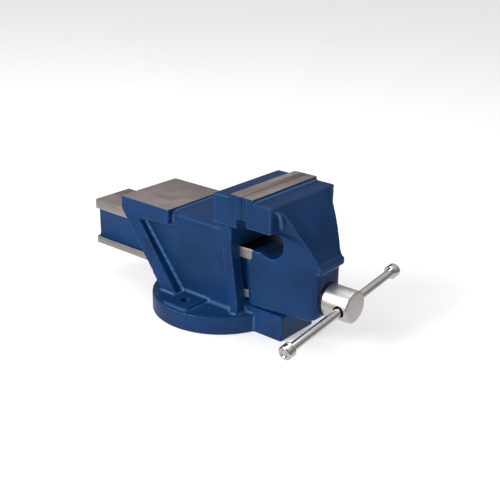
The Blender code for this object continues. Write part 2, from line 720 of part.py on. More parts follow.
def jaw_head():
    """The front jaw's block, with the ground ridge in front of its plate."""
    ridge = MOVING_FACE_X + MOVING_RIDGE_DEPTH
    outline = [
        (MOVING_FACE_X, MOVING_BLOCK_BOTTOM_Z),
        (MOVING_FRONT_X, MOVING_BLOCK_BOTTOM_Z),
        (MOVING_FRONT_X, BLOCK_TOP_Z),
        (ridge, BLOCK_TOP_Z),
        (ridge, JAW_TOP_Z),
        (MOVING_FACE_X, JAW_TOP_Z)]
    return prism_y("head_tool", outline, JAW_WIDTH / 2)


def jaw_openings():
    """The channel under the lower body, the screw's bore, the round throat and the plate's holes."""
    half = CHANNEL_HALF
    channel_x = (FRONT_FACE_TOP_X, FRONT_WALL_X)
    channel = box("channel_tool", channel_x, (-half, half), (BODY_BOTTOM_Z - BURIED, CHANNEL_TOP_Z))
    bore_ends = (FRONT_WALL_X - BURIED, NOSE_X + LIP_PROUD + BURIED)
    bore = turned("bore_tool", [(x, JOURNAL_RADIUS + SEAT_GAP) for x in bore_ends])
    throat = cross_rod("throat_tool", THROAT_RADIUS, JAW_WIDTH)
    tools = [channel, move(bore, z=SPINDLE_Z), move(throat, THROAT_CENTRE_X, 0.0, THROAT_CENTRE_Z)]
    return tools + screw_holes(MOVING_FACE_X, 1)


def build_moving_jaw(material):
    """The sliding casting: head, hood, gusset, lower body and beam in one piece."""
    jaw = join(beam(), [jaw_lower_body(), gusset(), jaw_head(), lip()])
    jaw = finish(cut(jaw, jaw_openings()), material)
    return set_origin(jaw, (JAW_PLANE_X, 0.0, SPINDLE_Z))


# ---- lead screw and what holds it ------------------------------------------------------------
def build_lead_screw(material):
    """The threaded spindle with its plain journal and round head."""
    screw = threaded_rod("lead_screw", THREAD_CORE, THREAD_RADIUS, 0.0, SPINDLE_REAR_X, SPINDLE_TURNS)
    journal_x = SPINDLE_REAR_X + (SPINDLE_TURNS + 2) * THREAD_PITCH - THREAD_PITCH / 4
    shaft = turned("shaft_tool", [
        (journal_x, JOURNAL_RADIUS),
        (HEAD_REAR_X, JOURNAL_RADIUS),
        (HEAD_REAR_X, HEAD_RADIUS - HEAD_CHAMFER / 2),
        (HEAD_REAR_X + HEAD_CHAMFER / 2, HEAD_RADIUS),
        (HEAD_FACE_X - HEAD_CHAMFER, HEAD_RADIUS),
        (HEAD_FACE_X, HEAD_RADIUS - HEAD_CHAMFER)], steps=FINE_STEPS)
    screw = join(screw, [shaft])
    hole_radius = HANDLE_RADIUS + HANDLE_HOLE_CLEARANCE
    hole = cross_rod("hole_tool", hole_radius, 4 * HEAD_RADIUS)
    tools = [move(tilt(hole, HANDLE_TILT), HANDLE_X), pin_hole()]
    screw = move(cut(screw, tools), z=SPINDLE_Z)
    return set_origin(finish(screw, material, round_shaded=True), (HEAD_REAR_X, 0.0, SPINDLE_Z))


def collar_middle_x():
    """Where the retaining collar sits on the spindle."""
    return FRONT_WALL_X - 3 * SEAT_GAP - WASHER_THICKNESS - SPRING_LENGTH - COLLAR_LENGTH / 2


def pin_hole():
    """The hole for the collar's pin, in the spindle's own frame."""
    hole = cross_rod("pin_tool", PIN_RADIUS + PIN_FIT, 4 * JOURNAL_RADIUS, steps=PIN_STEPS)
    return move(hole, collar_middle_x())


def ring(name, x_range, inner, outer, material):
    """A washer or collar around the spindle."""
    body = turned(name, [(x, outer) for x in x_range], steps=FINE_STEPS)
    reach = (x_range[0] - BURIED, x_range[1] + BURIED)
    body = cut(body, [turned("ring_tool", [(x, inner) for x in reach], steps=FINE_STEPS)])
    return finish(move(body, z=SPINDLE_Z), material, round_shaded=True)


def build_thrust_washer(material):
    """The dark ring between the spindle's head and the jaw."""
    x = NOSE_X + SEAT_GAP
    outer = HEAD_RADIUS + THRUST_WASHER_OVERHANG
    return ring("thrust_washer", (x, x + THRUST_WASHER_THICKNESS), JOURNAL_RADIUS + SEAT_GAP, outer, material)


def build_spring_washer(material):
    """The washer that the spring presses on the inside of the jaw's front wall."""
    x = FRONT_WALL_X - SEAT_GAP
    inner = JOURNAL_RADIUS + SEAT_GAP
    return ring("spring_washer", (x - WASHER_THICKNESS, x), inner, inner + WASHER_RIM, material)


def build_collar(material):
    """The collar that keeps the spindle in the jaw."""
    middle = collar_middle_x()
    inner = JOURNAL_RADIUS + SEAT_GAP
    span = (middle - COLLAR_LENGTH / 2, middle + COLLAR_LENGTH / 2)
    collar = ring("retaining_collar", span, inner, inner + COLLAR_RIM, material)
    return cut(collar, [move(pin_hole(), z=SPINDLE_Z)])


def build_pin(material):
    """The pin through the collar and the spindle."""
    length = 2 * (JOURNAL_RADIUS + COLLAR_RIM)
    pin = cross_rod("collar_pin", PIN_RADIUS - PIN_FIT, length, steps=PIN_STEPS)
    return finish(move(pin, collar_middle_x(), 0.0, SPINDLE_Z), material, round_shaded=True)


def build_spring(material):
    """The coil spring between the washer and the collar."""
    front = FRONT_WALL_X - 2 * SEAT_GAP - WASHER_THICKNESS - SPRING_WIRE_RADIUS
    rear = front - SPRING_LENGTH + 2 * SPRING_WIRE_RADIUS
    coil = JOURNAL_RADIUS + 3 * SEAT_GAP + SPRING_WIRE_RADIUS
    count = SPRING_TURNS * COIL_STEPS
    rings = []
    for i in range(count + 1):
        angle = 2 * math.pi * SPRING_TURNS * i / count
        centre = Vector((rear + (front - rear) * i / count, coil * math.cos(angle), coil * math.sin(angle)))
        outward = Vector((0.0, math.cos(angle), math.sin(angle)))
        section = []
        for k in range(WIRE_STEPS):
            around = 2 * math.pi * k / WIRE_STEPS
            offset = outward * math.cos(around) + Vector((math.sin(around), 0.0, 0.0))
            section.append(centre + SPRING_WIRE_RADIUS * offset)
        rings.append(section)
    return finish(move(loft("spindle_spring", rings), z=SPINDLE_Z), material, round_shaded=True)


# ---- nut -------------------------------------------------------------------------------------
def build_nut(material):
    """The nut block inside the beam, with a lug down through the body's floor."""
    foot_z = TUNNEL_BOTTOM_Z + SEAT_GAP
    outline = [(-NUT_HALF, foot_z), (NUT_HALF, foot_z)]
    outline += arc((0.0, SPINDLE_Z), NUT_HALF, 0, 180, PIN_STEPS)
    x_range = (NUT_CENTRE_X - NUT_LENGTH / 2, NUT_CENTRE_X + NUT_LENGTH / 2)
    nut = prism_x("spindle_nut", outline, x_range)
    lug_x = NUT_LUG_LENGTH / 2
    lug_y = NUT_LUG_WIDTH / 2
    lug = box("lug_tool", (NUT_CENTRE_X - lug_x, NUT_CENTRE_X + lug_x), (-lug_y, lug_y),
              (POCKET_TOP_Z + LUG_SETBACK, foot_z + BURIED / 2))
    whole_turns = int((x_range[0] - SPINDLE_REAR_X) / THREAD_PITCH) - 2
    tap_x = SPINDLE_REAR_X + whole_turns * THREAD_PITCH
    tap_turns = int(NUT_LENGTH / THREAD_PITCH) + 3
    tap = threaded_rod("tap_tool", THREAD_CORE + THREAD_CLEARANCE, THREAD_RADIUS + THREAD_CLEARANCE,
                       2 * THREAD_AXIAL_CLEARANCE, tap_x, tap_turns)
    bolt_hole = upright("bolt_tool", [
        (POCKET_TOP_Z - BURIED, NUT_BOLT_RADIUS + SEAT_GAP),
        (POCKET_TOP_Z + NUT_BOLT_THREAD + SEAT_GAP, NUT_BOLT_RADIUS + SEAT_GAP)], steps=SMALL_STEPS)
    cut(join(nut, [lug]), [move(tap, z=SPINDLE_Z), move(bolt_hole, NUT_CENTRE_X)])
    return finish(nut, material)


def build_nut_washer(material):
    """The washer under the nut bolt's head."""
    top = POCKET_TOP_Z - SEAT_GAP
    washer = upright("nut_washer", [(z, NUT_WASHER_RADIUS) for z in (top - NUT_WASHER_THICKNESS, top)])
    hole = [(z, NUT_BOLT_RADIUS + SEAT_GAP) for z in (top - BURIED, top + BURIED)]
    cut(washer, [upright("hole_tool", hole, steps=SMALL_STEPS)])
    return finish(move(washer, NUT_CENTRE_X), material, round_shaded=True)


def build_nut_bolt(material):
    """The bolt that clamps the nut to the body from below."""
    seat = POCKET_TOP_Z - 2 * SEAT_GAP - NUT_WASHER_THICKNESS
    head_ends = (seat - NUT_BOLT_HEAD_HEIGHT, seat)
    head = upright("nut_bolt", [(z, NUT_BOLT_HEAD_RADIUS) for z in head_ends], steps=HEXAGON)
    shank_ends = (seat - NUT_BOLT_HEAD_HEIGHT / 2, POCKET_TOP_Z + NUT_BOLT_THREAD)
    shank = upright("shank_tool", [(z, NUT_BOLT_RADIUS) for z in shank_ends], steps=SMALL_STEPS)
    return finish(move(join(head, [shank]), NUT_CENTRE_X), material, round_shaded=True)


# ---- handle ----------------------------------------------------------------------------------
def place_handle_piece(obj):
    """Put a piece that was made along Y onto the handle's axis, with its origin on that axis."""
    move(obj, y=HANDLE_OFFSET)
    move(tilt(obj, HANDLE_TILT), HANDLE_X, 0.0, SPINDLE_Z)
    return set_origin(obj, (HANDLE_X, 0.0, SPINDLE_Z))


def build_handle_bar(material):
    """The sliding bar, with a thinner spigot at each end for its knob."""
    shoulder = HANDLE_LENGTH / 2 - KNOB_LENGTH - SEAT_GAP
    end = HANDLE_LENGTH / 2
    bar = turned("handle_bar", [
        (-end, SPIGOT_RADIUS),
        (-shoulder, SPIGOT_RADIUS),
        (-shoulder, HANDLE_RADIUS),
        (shoulder, HANDLE_RADIUS),
        (shoulder, SPIGOT_RADIUS),
        (end, SPIGOT_RADIUS)])
    bar.data.transform(Matrix.Rotation(math.pi / 2, 4, "Z"))
    return place_handle_piece(finish(bar, material, round_shaded=True))


def build_knob(name, side, material):
    """A round knob on one end of the bar."""
    inner = HANDLE_LENGTH / 2 - KNOB_LENGTH
    outer = HANDLE_LENGTH / 2
    body = turned(name, [
        (inner, KNOB_RADIUS - KNOB_CHAMFER),
        (inner + KNOB_CHAMFER, KNOB_RADIUS),
        (outer - KNOB_CHAMFER, KNOB_RADIUS),
        (outer, KNOB_RADIUS - KNOB_CHAMFER)])
    bore = turned("bore_tool", [(x, SPIGOT_RADIUS + SEAT_GAP) for x in (inner - BURIED, outer + BURIED)])
    cut(body, [bore])
    body.data.transform(Matrix.Rotation(side * math.pi / 2, 4, "Z"))
    return place_handle_piece(finish(body, material, round_shaded=True))


# ---- the whole vise --------------------------------------------------------------------------
def clear_scene():
    """Remove everything that the opened file holds."""
    for obj in list(bpy.data.objects):
        bpy.data.objects.remove(obj)


def main():
    """Build every piece of the vise."""
    clear_scene()
    blue = make_material("blue_enamel", (0.022, 0.066, 0.170), 0.38, 0.0)
    hard = make_material("ground_steel", (0.36, 0.34, 0.33), 0.38, 1.0)
    bright = make_material("bright_steel", (0.62, 0.61, 0.60), 0.22, 1.0)
    dark = make_material("black_steel", (0.020, 0.020, 0.022), 0.50, 0.6)
    iron = make_material("grey_iron", (0.13, 0.13, 0.13), 0.60, 0.8)
    spring_steel = make_material("spring_steel", (0.25, 0.25, 0.26), 0.35, 1.0)

    build_fixed_body(blue)
    build_moving_jaw(blue)
    fixed_face = (JAW_PLANE_X, -1)
    moving_face = (JAW_PLANE_X + CLOSED_GAP, 1)
    build_plate("fixed_jaw_plate", *fixed_face, hard)
    build_plate("moving_jaw_plate", *moving_face, hard)
    for owner, face in (("fixed", fixed_face), ("moving", moving_face)):
        for side, place in zip(("near", "far"), screw_places()):
            build_screw(f"{owner}_plate_screw_{side}", *face, place, dark)
    build_lead_screw(bright)
    build_thrust_washer(dark)
    build_spring_washer(iron)
    build_spring(spring_steel)
    build_collar(iron)
    build_pin(hard)
    build_nut(iron)
    build_nut_washer(dark)
    build_nut_bolt(dark)
    build_handle_bar(bright)
    build_knob("handle_knob_near", -1, bright)
    build_knob("handle_knob_far", 1, bright)


main()
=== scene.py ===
"""Bench vise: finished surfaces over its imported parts.

Units are metres and +Z is up, in the part's own frame. The origin is under the middle of the round base,
+X points from the anvil to the handle, and +Y runs along the jaws.
"""

import json
import math

import bmesh
import bpy
import numpy as np
from bpy.props import FloatProperty, FloatVectorProperty, IntProperty, PointerProperty
from mathutils import Matrix, Vector

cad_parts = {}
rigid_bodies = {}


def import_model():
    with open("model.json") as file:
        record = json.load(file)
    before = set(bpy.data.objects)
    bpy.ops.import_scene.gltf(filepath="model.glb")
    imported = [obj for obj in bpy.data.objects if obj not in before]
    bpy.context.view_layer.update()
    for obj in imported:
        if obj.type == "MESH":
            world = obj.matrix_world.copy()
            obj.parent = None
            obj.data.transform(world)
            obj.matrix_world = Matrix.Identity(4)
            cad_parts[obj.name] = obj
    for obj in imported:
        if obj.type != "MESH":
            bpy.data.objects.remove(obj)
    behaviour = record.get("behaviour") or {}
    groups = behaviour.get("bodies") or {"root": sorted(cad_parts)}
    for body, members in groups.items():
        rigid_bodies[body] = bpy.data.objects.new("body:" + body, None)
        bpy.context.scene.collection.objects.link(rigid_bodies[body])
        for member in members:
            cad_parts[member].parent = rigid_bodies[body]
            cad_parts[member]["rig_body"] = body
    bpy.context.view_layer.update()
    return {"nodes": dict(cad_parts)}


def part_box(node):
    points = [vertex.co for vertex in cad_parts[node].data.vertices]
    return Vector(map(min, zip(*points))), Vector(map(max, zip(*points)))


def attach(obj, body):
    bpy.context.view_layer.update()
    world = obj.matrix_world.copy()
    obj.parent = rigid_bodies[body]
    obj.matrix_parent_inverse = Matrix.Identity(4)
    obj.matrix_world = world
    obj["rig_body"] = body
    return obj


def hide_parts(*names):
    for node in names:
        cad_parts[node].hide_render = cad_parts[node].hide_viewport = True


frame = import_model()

bl_info = {
    "name": "Bench Vise Finish",
    "version": (1, 0, 0),
    "blender": (4, 5, 0),
    "location": "3D View > Sidebar > Vise",
    "description": "Builds the castings, screws, handle and finishes of a bench vise over its packed parts",
    "category": "Object",
}

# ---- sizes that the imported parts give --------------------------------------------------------
BODY_LOW, BODY_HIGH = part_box("fixed_jaw_body")
JAW_LOW, JAW_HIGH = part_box("moving_jaw")
REAR_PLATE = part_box("fixed_jaw_plate")
FRONT_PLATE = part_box("moving_jaw_plate")
SCREW_LOW, SCREW_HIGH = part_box("lead_screw")
RING_LOW, RING_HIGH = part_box("thrust_washer")
PLATE_SCREWS = [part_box("fixed_plate_screw_near"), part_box("fixed_plate_screw_far")]

FIT_GAP = 0.0003
BASE_RADIUS = BODY_HIGH.y
JAW_TOP_Z = BODY_HIGH.z
JAW_HALF = REAR_PLATE[1].y
ANVIL_REAR_X = BODY_LOW.x
FOOT_FRONT_X = BODY_HIGH.x
REAR_SEAT_X = REAR_PLATE[0].x - FIT_GAP
FRONT_SEAT_X = FRONT_PLATE[1].x + FIT_GAP
SPINDLE_Z = (SCREW_LOW.z + SCREW_HIGH.z) / 2
HEAD_RADIUS = (SCREW_HIGH.z - SCREW_LOW.z) / 2
NOSE_X = RING_LOW.x - FIT_GAP
SPINDLE_PLACE = Matrix.Translation((0.0, 0.0, SPINDLE_Z))

# ---- fixed casting ---------------------------------------------------------------------------
BASE_THICKNESS = 0.023
PAD_TOP_Z = 0.026
PAD_X = (-0.025, 0.015)
PAD_REACH = 0.083
BOLT_HOLE_RADIUS = 0.006
BOLT_HOLE_X = -0.005
BOLT_HOLE_Y = 0.0632
FOOT_HALF = 0.033
FOOT_TOP_Z = 0.0327
TOWER_HALF = 0.0419
NECK_TOP_Z = 0.131
NECK_ROUND = 0.008
LEG_FOOT_X = -0.054
LEG_WIDTH = 0.027
LEG_SPREAD = 0.006
LEG_TOP_Z = 0.117
ANVIL_FRONT_X = -0.0445
ANVIL_HALF = 0.0515
ANVIL_TOP_Z = 0.1345
ANVIL_FRONT_THICKNESS = 0.020
FACE_FOOT_X = 0.071
FACE_TOP_X = 0.058
FACE_TOP_Z = 0.105
RIB_DEPTH = 0.010
RIB_PROUD = 0.006
RIB_BLEND = 0.011
RIB_SPREAD = 0.003
FOOT_BLEND = 0.005
REAR_BLOCK_X = 0.0426
REAR_BLOCK_BOTTOM_Z = 0.1435
BLOCK_TOP_Z = 0.1805
REAR_RIDGE_X = 0.0687
FLARE_HEIGHT = 0.015
FLARE_SINK = 0.002
FLARE_LEAN = 0.004
FLARE_POWER = 1.5
RIDGE_CUT = 0.004
BODY_GRID = 1.1
TUNNEL_HALF = 0.0321
TUNNEL_Z = (0.042, 0.1082)
POCKET_TOP_Z = 0.026
POCKET_HALF = 0.024
POCKETS_X = ((-0.051, -0.007), (0.006, 0.050))
NUT_SLOT = (0.0157, 0.0403, 0.0113)

# ---- sliding casting -------------------------------------------------------------------------
BEAM_HALF = 0.0316
BEAM_TOP_Z = 0.1077
BEAM_BOTTOM_Z = 0.0425
TOP_FLANGE = 0.0138
LOWER_FLANGE = 0.0103
WEB_RECESS = 0.0061
WEB_FILLET = 0.003
CHANNEL_HALF = 0.0172
CHANNEL_TOP_Z = 0.0782
LOWER_REAR_X = 0.0765
LOWER_HALF = 0.033
FOOT_CLEARANCE = 0.002
WAIST_CLEARANCE = 0.0065
LOWER_BOTTOM_Z = 0.035
NOSE_HALF = 0.025
CORNER = 0.009
REAR_CORNER = 0.004
NOSE_ROUND = 0.012
SHOULDER = (0.129, 0.133)
LIP_TOP_Z = 0.109
LIP_HEIGHT = 0.0105
LIP_CORNER = 0.0022
THROAT = (0.105, 0.121)
THROAT_RADIUS = 0.018
HEAD_BOTTOM_Z = 0.1474
FRONT_BLOCK_X = 0.1292
FRONT_RIDGE_X = 0.1027
HOOD_BULGE = (0.153, 0.152)
HOOD_KNEE = 0.133
HOOD_KNEE_HALF = 0.048
HOOD_FADE = 0.9
HOOD_FADE_POWER = 0.85
GUSSET_X = 0.1252
GUSSET_HALF = 0.0435
GUSSET_HIGH_POWER = 4
GUSSET_LOW_POWER = 1.5
FRONT_WALL_X = 0.1485
FREE_X = 0.05
SEAT_CUT_Z = 0.138
SLIDE_EDGE = 0.0007

# ---- jaw plates and their screws -------------------------------------------------------------
PLATE_SINK = 0.0002
PLATE_END = 0.9
PLATE_EDGE = 0.00015
TEETH_END_MARGIN = 0.001
TEETH_SIDE_MARGIN = 0.0018
SCREW_CLEARING = 0.0075
COUNTERSINK = ((-0.008, 0.0063), (0.001, 0.0063), (0.0041, 0.0033), (0.02, 0.0033))
SCREW_SINK = 0.0006
SCREW_SOCKET = ((0.0022, 0.0020), (0.00012, 0.0023))
SCREW_PROFILE = ((0.0, 0.0026), (0.0, 0.0056), (0.00025, 0.006), (0.0004, 0.006), (0.0035, 0.003),
                 (0.004, 0.003), (0.0185, 0.003), (0.0191, 0.0022))

# ---- spindle and handle ----------------------------------------------------------------------
THREAD_CORE = 0.009
THREAD_RADIUS = 0.012
JOURNAL_X = 0.1095
HANDLE_TILT = math.radians(6.8)
HANDLE_OFFSET = -0.009
HANDLE_X = 0.1987
HANDLE_RADIUS = 0.00525
HANDLE_LENGTH = 0.228
KNOB_RADIUS = 0.0086
KNOB_LENGTH = 0.012
SPIGOT_RADIUS = 0.0036
THREAD_FOOT = 0.0036
THREAD_CREST = 0.0018
THREAD_SINK = 0.0001
THREAD_RUN_IN = 0.75
THREAD_CHAMFER = 0.0006
END_CHAMFER = 0.001
HEAD_EDGES = (0.0012, 0.0022)
CENTRE_MARK = 0.12
CROSS_HOLE_PLAY = 0.0005
CROSS_HOLE_MOUTH = 0.0075
MOUTH_SINK = 0.0016
MOUTH_DEPTH = 0.0022
RING_EDGE = 0.0004
WIRE_SIDE = 1.3
KNOB_BACK = ((0.0, -0.0008), (0.0007, 0.0), (0.0026, 0.0), (0.0032, -0.0007), (0.0042, -0.0008),
             (0.0050, -0.0001))
KNOB_EDGE = 0.0024
KNOB_FACE = ((0.0, 0.0012), (-0.0006, 0.0004))
SPIGOT_END = ((0.0002, 0.00162), (0.0004, 0.0002), (0.0009, 0.0))
SHOULDER_CHAMFER = 0.0004

# ---- working sizes ---------------------------------------------------------------------------
STOCK = 0.003
SUNK = 0.008
BELOW_Z = -0.02
# Painted shade on the slide's top: where it begins and how wide its ragged edge is.
SHADE_FROM_X = 0.036
SHADE_FRINGE = 0.034

# ---- stage -----------------------------------------------------------------------------------
STAGE_RADIUS = 14.0
STAGE_RIM = 3.0
STAGE_DEPTH = 0.05
FLOOR_Z = -0.0004
SENSOR_WIDTH = 36.0
LIGHT_AIM = (0.02, 0.0, 0.09)
KEY_LIGHT = ((-0.75, -2.0, 1.35), 1.3)
TOP_LIGHT = ((0.05, 0.35, 1.9), 1.5)


# ---- what a user may change ------------------------------------------------------------------
def tint(name, description, default):
    """A colour."""
    return FloatVectorProperty(name=name, description=description, default=default, size=3, min=0.0, max=1.0,
                               subtype="COLOR")


def length(name, description, default, low, high):
    """A length in metres."""
    return FloatProperty(name=name, description=description, default=default, min=low, max=high,
                         subtype="DISTANCE", unit="LENGTH")


def amount(name, description, default, low=0.0, **options):
    """A plain number."""
    return FloatProperty(name=name, description=description, default=default, min=low, **options)


def turn_angle(name, description, degrees):
    """An angle."""
    return FloatProperty(name=name, description=description, default=math.radians(degrees), subtype="ANGLE")


class VisePaint(bpy.types.PropertyGroup):
    """Colour and surface of the enamelled castings."""

    colour: tint("Enamel", "Colour of the enamel", (0.0032, 0.034, 0.122))
    # Painted highlight: a lighter blue laid along outer edges, standing in for glints of light.
    edge_highlight_colour: tint("Edge highlight", "Colour of the painted highlight along outer edges", (0.010, 0.060, 0.175))
    # Painted highlight: a lighter blue laid in hollow corners, where glossy fillets catch light.
    corner_highlight_colour: tint("Corner highlight", "Colour where the enamel catches light in a corner",
                        (0.060, 0.150, 0.320))
    roughness: amount("Roughness", "Roughness of the enamel", 0.36, 0.05, max=1.0)
    grain: length("Grain height", "Height of the casting's grain under the enamel", 0.00020, 0.0, 0.001)


class ViseMetal(bpy.types.PropertyGroup):
    """Colours and roughness of the bare metal."""

    milled: tint("Milled iron", "Colour of the milled tops", (0.540, 0.450, 0.432))
    # The flank colour is lighter than the milled one partly for the ground finish and partly as painted
    # light on sides that catch more light.
    flank: tint("Ground flank", "Colour of the ground sides of the slide", (0.680, 0.630, 0.600))
    hardened: tint("Hardened steel", "Colour of the jaw plates", (0.430, 0.360, 0.355))
    polished: tint("Polished steel", "Colour of the handle", (0.860, 0.815, 0.795))
    polish: amount("Polish roughness", "Roughness of the handle", 0.11, 0.03, max=1.0)
    turned: amount("Turned roughness", "Roughness of the spindle's head", 0.38, 0.03, max=1.0)
    black: tint("Blackened steel", "Colour of the screws and washers", (0.020, 0.020, 0.022))


class ViseShape(bpy.types.PropertyGroup):
    """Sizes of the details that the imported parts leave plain."""

    grid: length("Casting grid", "Spacing of the points on a casting", 0.0013, 0.0008, 0.004)
    softness: IntProperty(
        name="Casting softness", description="Smoothing passes over a casting's edges", default=4,
        min=0, max=30)
    tooth_pitch: length("Tooth pitch", "Spacing of the jaw plates' teeth", 0.0022, 0.001, 0.006)
    tooth_height: length("Tooth height", "Height of the jaw plates' teeth", 0.00035, 0.0001, 0.001)
    screw_spacing: length("Screw spacing", "Distance between the two screws of a jaw plate",
                          PLATE_SCREWS[1][0].y - PLATE_SCREWS[0][0].y, 0.02, 0.1)
    thread_pitch: length("Thread pitch", "Advance of the spindle in one turn", 0.006, 0.002, 0.01)
    spring_turns: IntProperty(
        name="Spring turns", description="Turns of the spindle's spring", default=5, min=2, max=12)
    wire_radius: length("Spring wire", "Radius of the spring's wire", 0.0009, 0.0004, 0.002)


class ViseStage(bpy.types.PropertyGroup):
    """Camera, floor and light."""

    azimuth: turn_angle("Azimuth", "Direction of the camera round the vise", 39.35)
    elevation: turn_angle("Elevation", "Height of the camera above the horizon", 22.21)
    roll: turn_angle("Roll", "Tilt of the camera about its own axis", 0.97)
    distance: amount("Distance", "Distance of the camera from its target", 1.14267, 0.2,
                     subtype="DISTANCE", unit="LENGTH")
    target: FloatVectorProperty(
        name="Target", description="Point that the camera looks at", size=3, subtype="TRANSLATION",
        unit="LENGTH", default=(0.03335, 0.01889, 0.08009))
    lens: amount("Lens", "Focal length of the camera in millimetres", 63.68, 10.0)
    floor_colour: tint("Floor", "Colour of the floor", (0.93, 0.93, 0.93))
    floor_glow: amount("Floor glow", "Light that the floor gives of itself", 0.34)
    key_power: amount("Key light", "Power of the main soft light", 46.0, unit="POWER")
    top_power: amount("Top light", "Power of the overhead soft light", 8.0, unit="POWER")
    sky: amount("Surround", "Brightness of the surroundings overhead", 0.50)
    band: amount("Dark band", "Brightness of the surroundings at eye level", 0.18)
    fill: amount("Low fill", "Brightness that bare metal mirrors from below", 0.62)


# ---- meshes ----------------------------------------------------------------------------------
def add_rings(bm, rings, finish=0):
    """A closed solid through rings that all have the same number of points."""
    rows = [[bm.verts.new(point) for point in ring] for ring in rings]
    count = len(rows[0])
    faces = [bm.faces.new(rows[0]), bm.faces.new(rows[-1])]
    for near, far in zip(rows, rows[1:]):
        for i in range(count):
            j = (i + 1) % count
            faces.append(bm.faces.new((near[i], near[j], far[j], far[i])))
    for face in faces:
        face.material_index = finish
    return rows


def add_block(bm, x_range, y_range, z_range, finish=0):
    """An axis-aligned block."""
    near, far = y_range
    outline = [(x_range[0], near), (x_range[1], near), (x_range[1], far), (x_range[0], far)]
    return add_rings(bm, [[(x, y, z) for x, y in outline] for z in z_range], finish)


def add_prism_y(bm, outline, half):
    """An outline in the XZ plane, extruded equally to both sides of the middle plane."""
    return add_rings(bm, [[(x, y, z) for x, z in outline] for y in (-half, half)])


def add_lathe(bm, profile, steps, place, finish=0):
    """A solid turned about the X axis from (x, radius) points, then put in its place."""
    rings = []
    for x, radius in profile:
        ring = []
        for i in range(steps):
            angle = 2 * math.pi * i / steps
            ring.append(place @ Vector((x, radius * math.cos(angle), radius * math.sin(angle))))
        rings.append(ring)
    return add_rings(bm, rings, finish)


def upright(x=0.0, y=0.0):
    """The place of a lathe's solid that stands on end at a point of the floor."""
    return Matrix.Translation((x, y, 0.0)) @ Matrix.Rotation(-math.pi / 2, 4, "Y")


def round_corner(x, radius, size, side, steps):
    """Points of a rounded outer edge: side 1 goes from the end face to the side, -1 the other way."""
    points = []
    for i in range(steps + 1):
        angle = math.pi / 2 * i / steps
        points.append((x + size * (1 - math.sin(angle)), radius - size * (1 - math.cos(angle))))
    if side > 0:
        return list(reversed(points))
    return [(2 * x - px, pr) for px, pr in points]


def make_object(name, bm, *finishes):
    """A linked object from a bmesh, with outward faces and its materials."""
    bmesh.ops.recalc_face_normals(bm, faces=bm.faces)
    mesh = bpy.data.meshes.new(name)
    bm.to_mesh(mesh)
    bm.free()
    for finish in finishes:
        mesh.materials.append(finish)
    obj = bpy.data.objects.new(name, mesh)
    bpy.context.scene.collection.objects.link(obj)
    return obj


def make_turned(name, profile, steps, place, *finishes):
    """A linked object with one turned solid."""
    bm = bmesh.new()
    add_lathe(bm, profile, steps, place)
    return make_object(name, bm, *finishes)


def settle(obj):
    """Turn what the modifiers show into the object's own plain mesh."""
    bpy.context.view_layer.update()
    evaluated = obj.evaluated_get(bpy.context.evaluated_depsgraph_get())
    mesh = bpy.data.meshes.new_from_object(evaluated)
    obj.modifiers.clear()
    obj.data = mesh
    mesh.name = obj.name
    return obj


def remesh(obj, grid):
    """Rebuild the skin of overlapping solids as one even mesh."""
    modifier = obj.modifiers.new("Skin", "REMESH")
    modifier.mode = "VOXEL"
    modifier.voxel_size = grid
    return settle(obj)


def relax(obj, passes):
    """Round the edges as a mould does."""
    modifier = obj.modifiers.new("Relax", "SMOOTH")
    modifier.factor = 0.5
    modifier.iterations = passes
    return settle(obj)


def carve(obj, bm):
    """Cut a solid out of an object; each cut face keeps the finish number of the cutter's face."""
    cutter = make_object("cutter", bm, *obj.data.materials)
    modifier = obj.modifiers.new("Carve", "BOOLEAN")
    modifier.operation = "DIFFERENCE"
    modifier.object = cutter
    modifier.solver = "MANIFOLD"
    settle(obj)
    bpy.data.objects.remove(cutter)
    if not obj.data.polygons:
        raise RuntimeError(f"{obj.name} was carved away")
    return obj


def carve_block(obj, x_range, y_range, z_range, finish=0):
    """Cut a block out of an object."""
    bm = bmesh.new()
    add_block(bm, x_range, y_range, z_range, finish)
    return carve(obj, bm)


def carve_lathe(obj, profile, place, finish=0):
    """Cut a turned solid out of an object."""
    bm = bmesh.new()
    add_lathe(bm, profile, 64, place, finish)
    return carve(obj, bm)


def shade(obj, angle=32.0):
    """Smooth shading, with edges sharper than an angle kept crisp."""
    obj.data.shade_smooth()
    obj.data.set_sharp_from_angle(angle=math.radians(angle))
    return obj


def bevel(obj, width):
    """A small even rounding on every sharp edge."""
    modifier = obj.modifiers.new("Edge", "BEVEL")
    modifier.width = width
    modifier.segments = 2
    modifier.limit_method = "ANGLE"
    modifier.angle_limit = math.radians(35.0)
    return settle(obj)


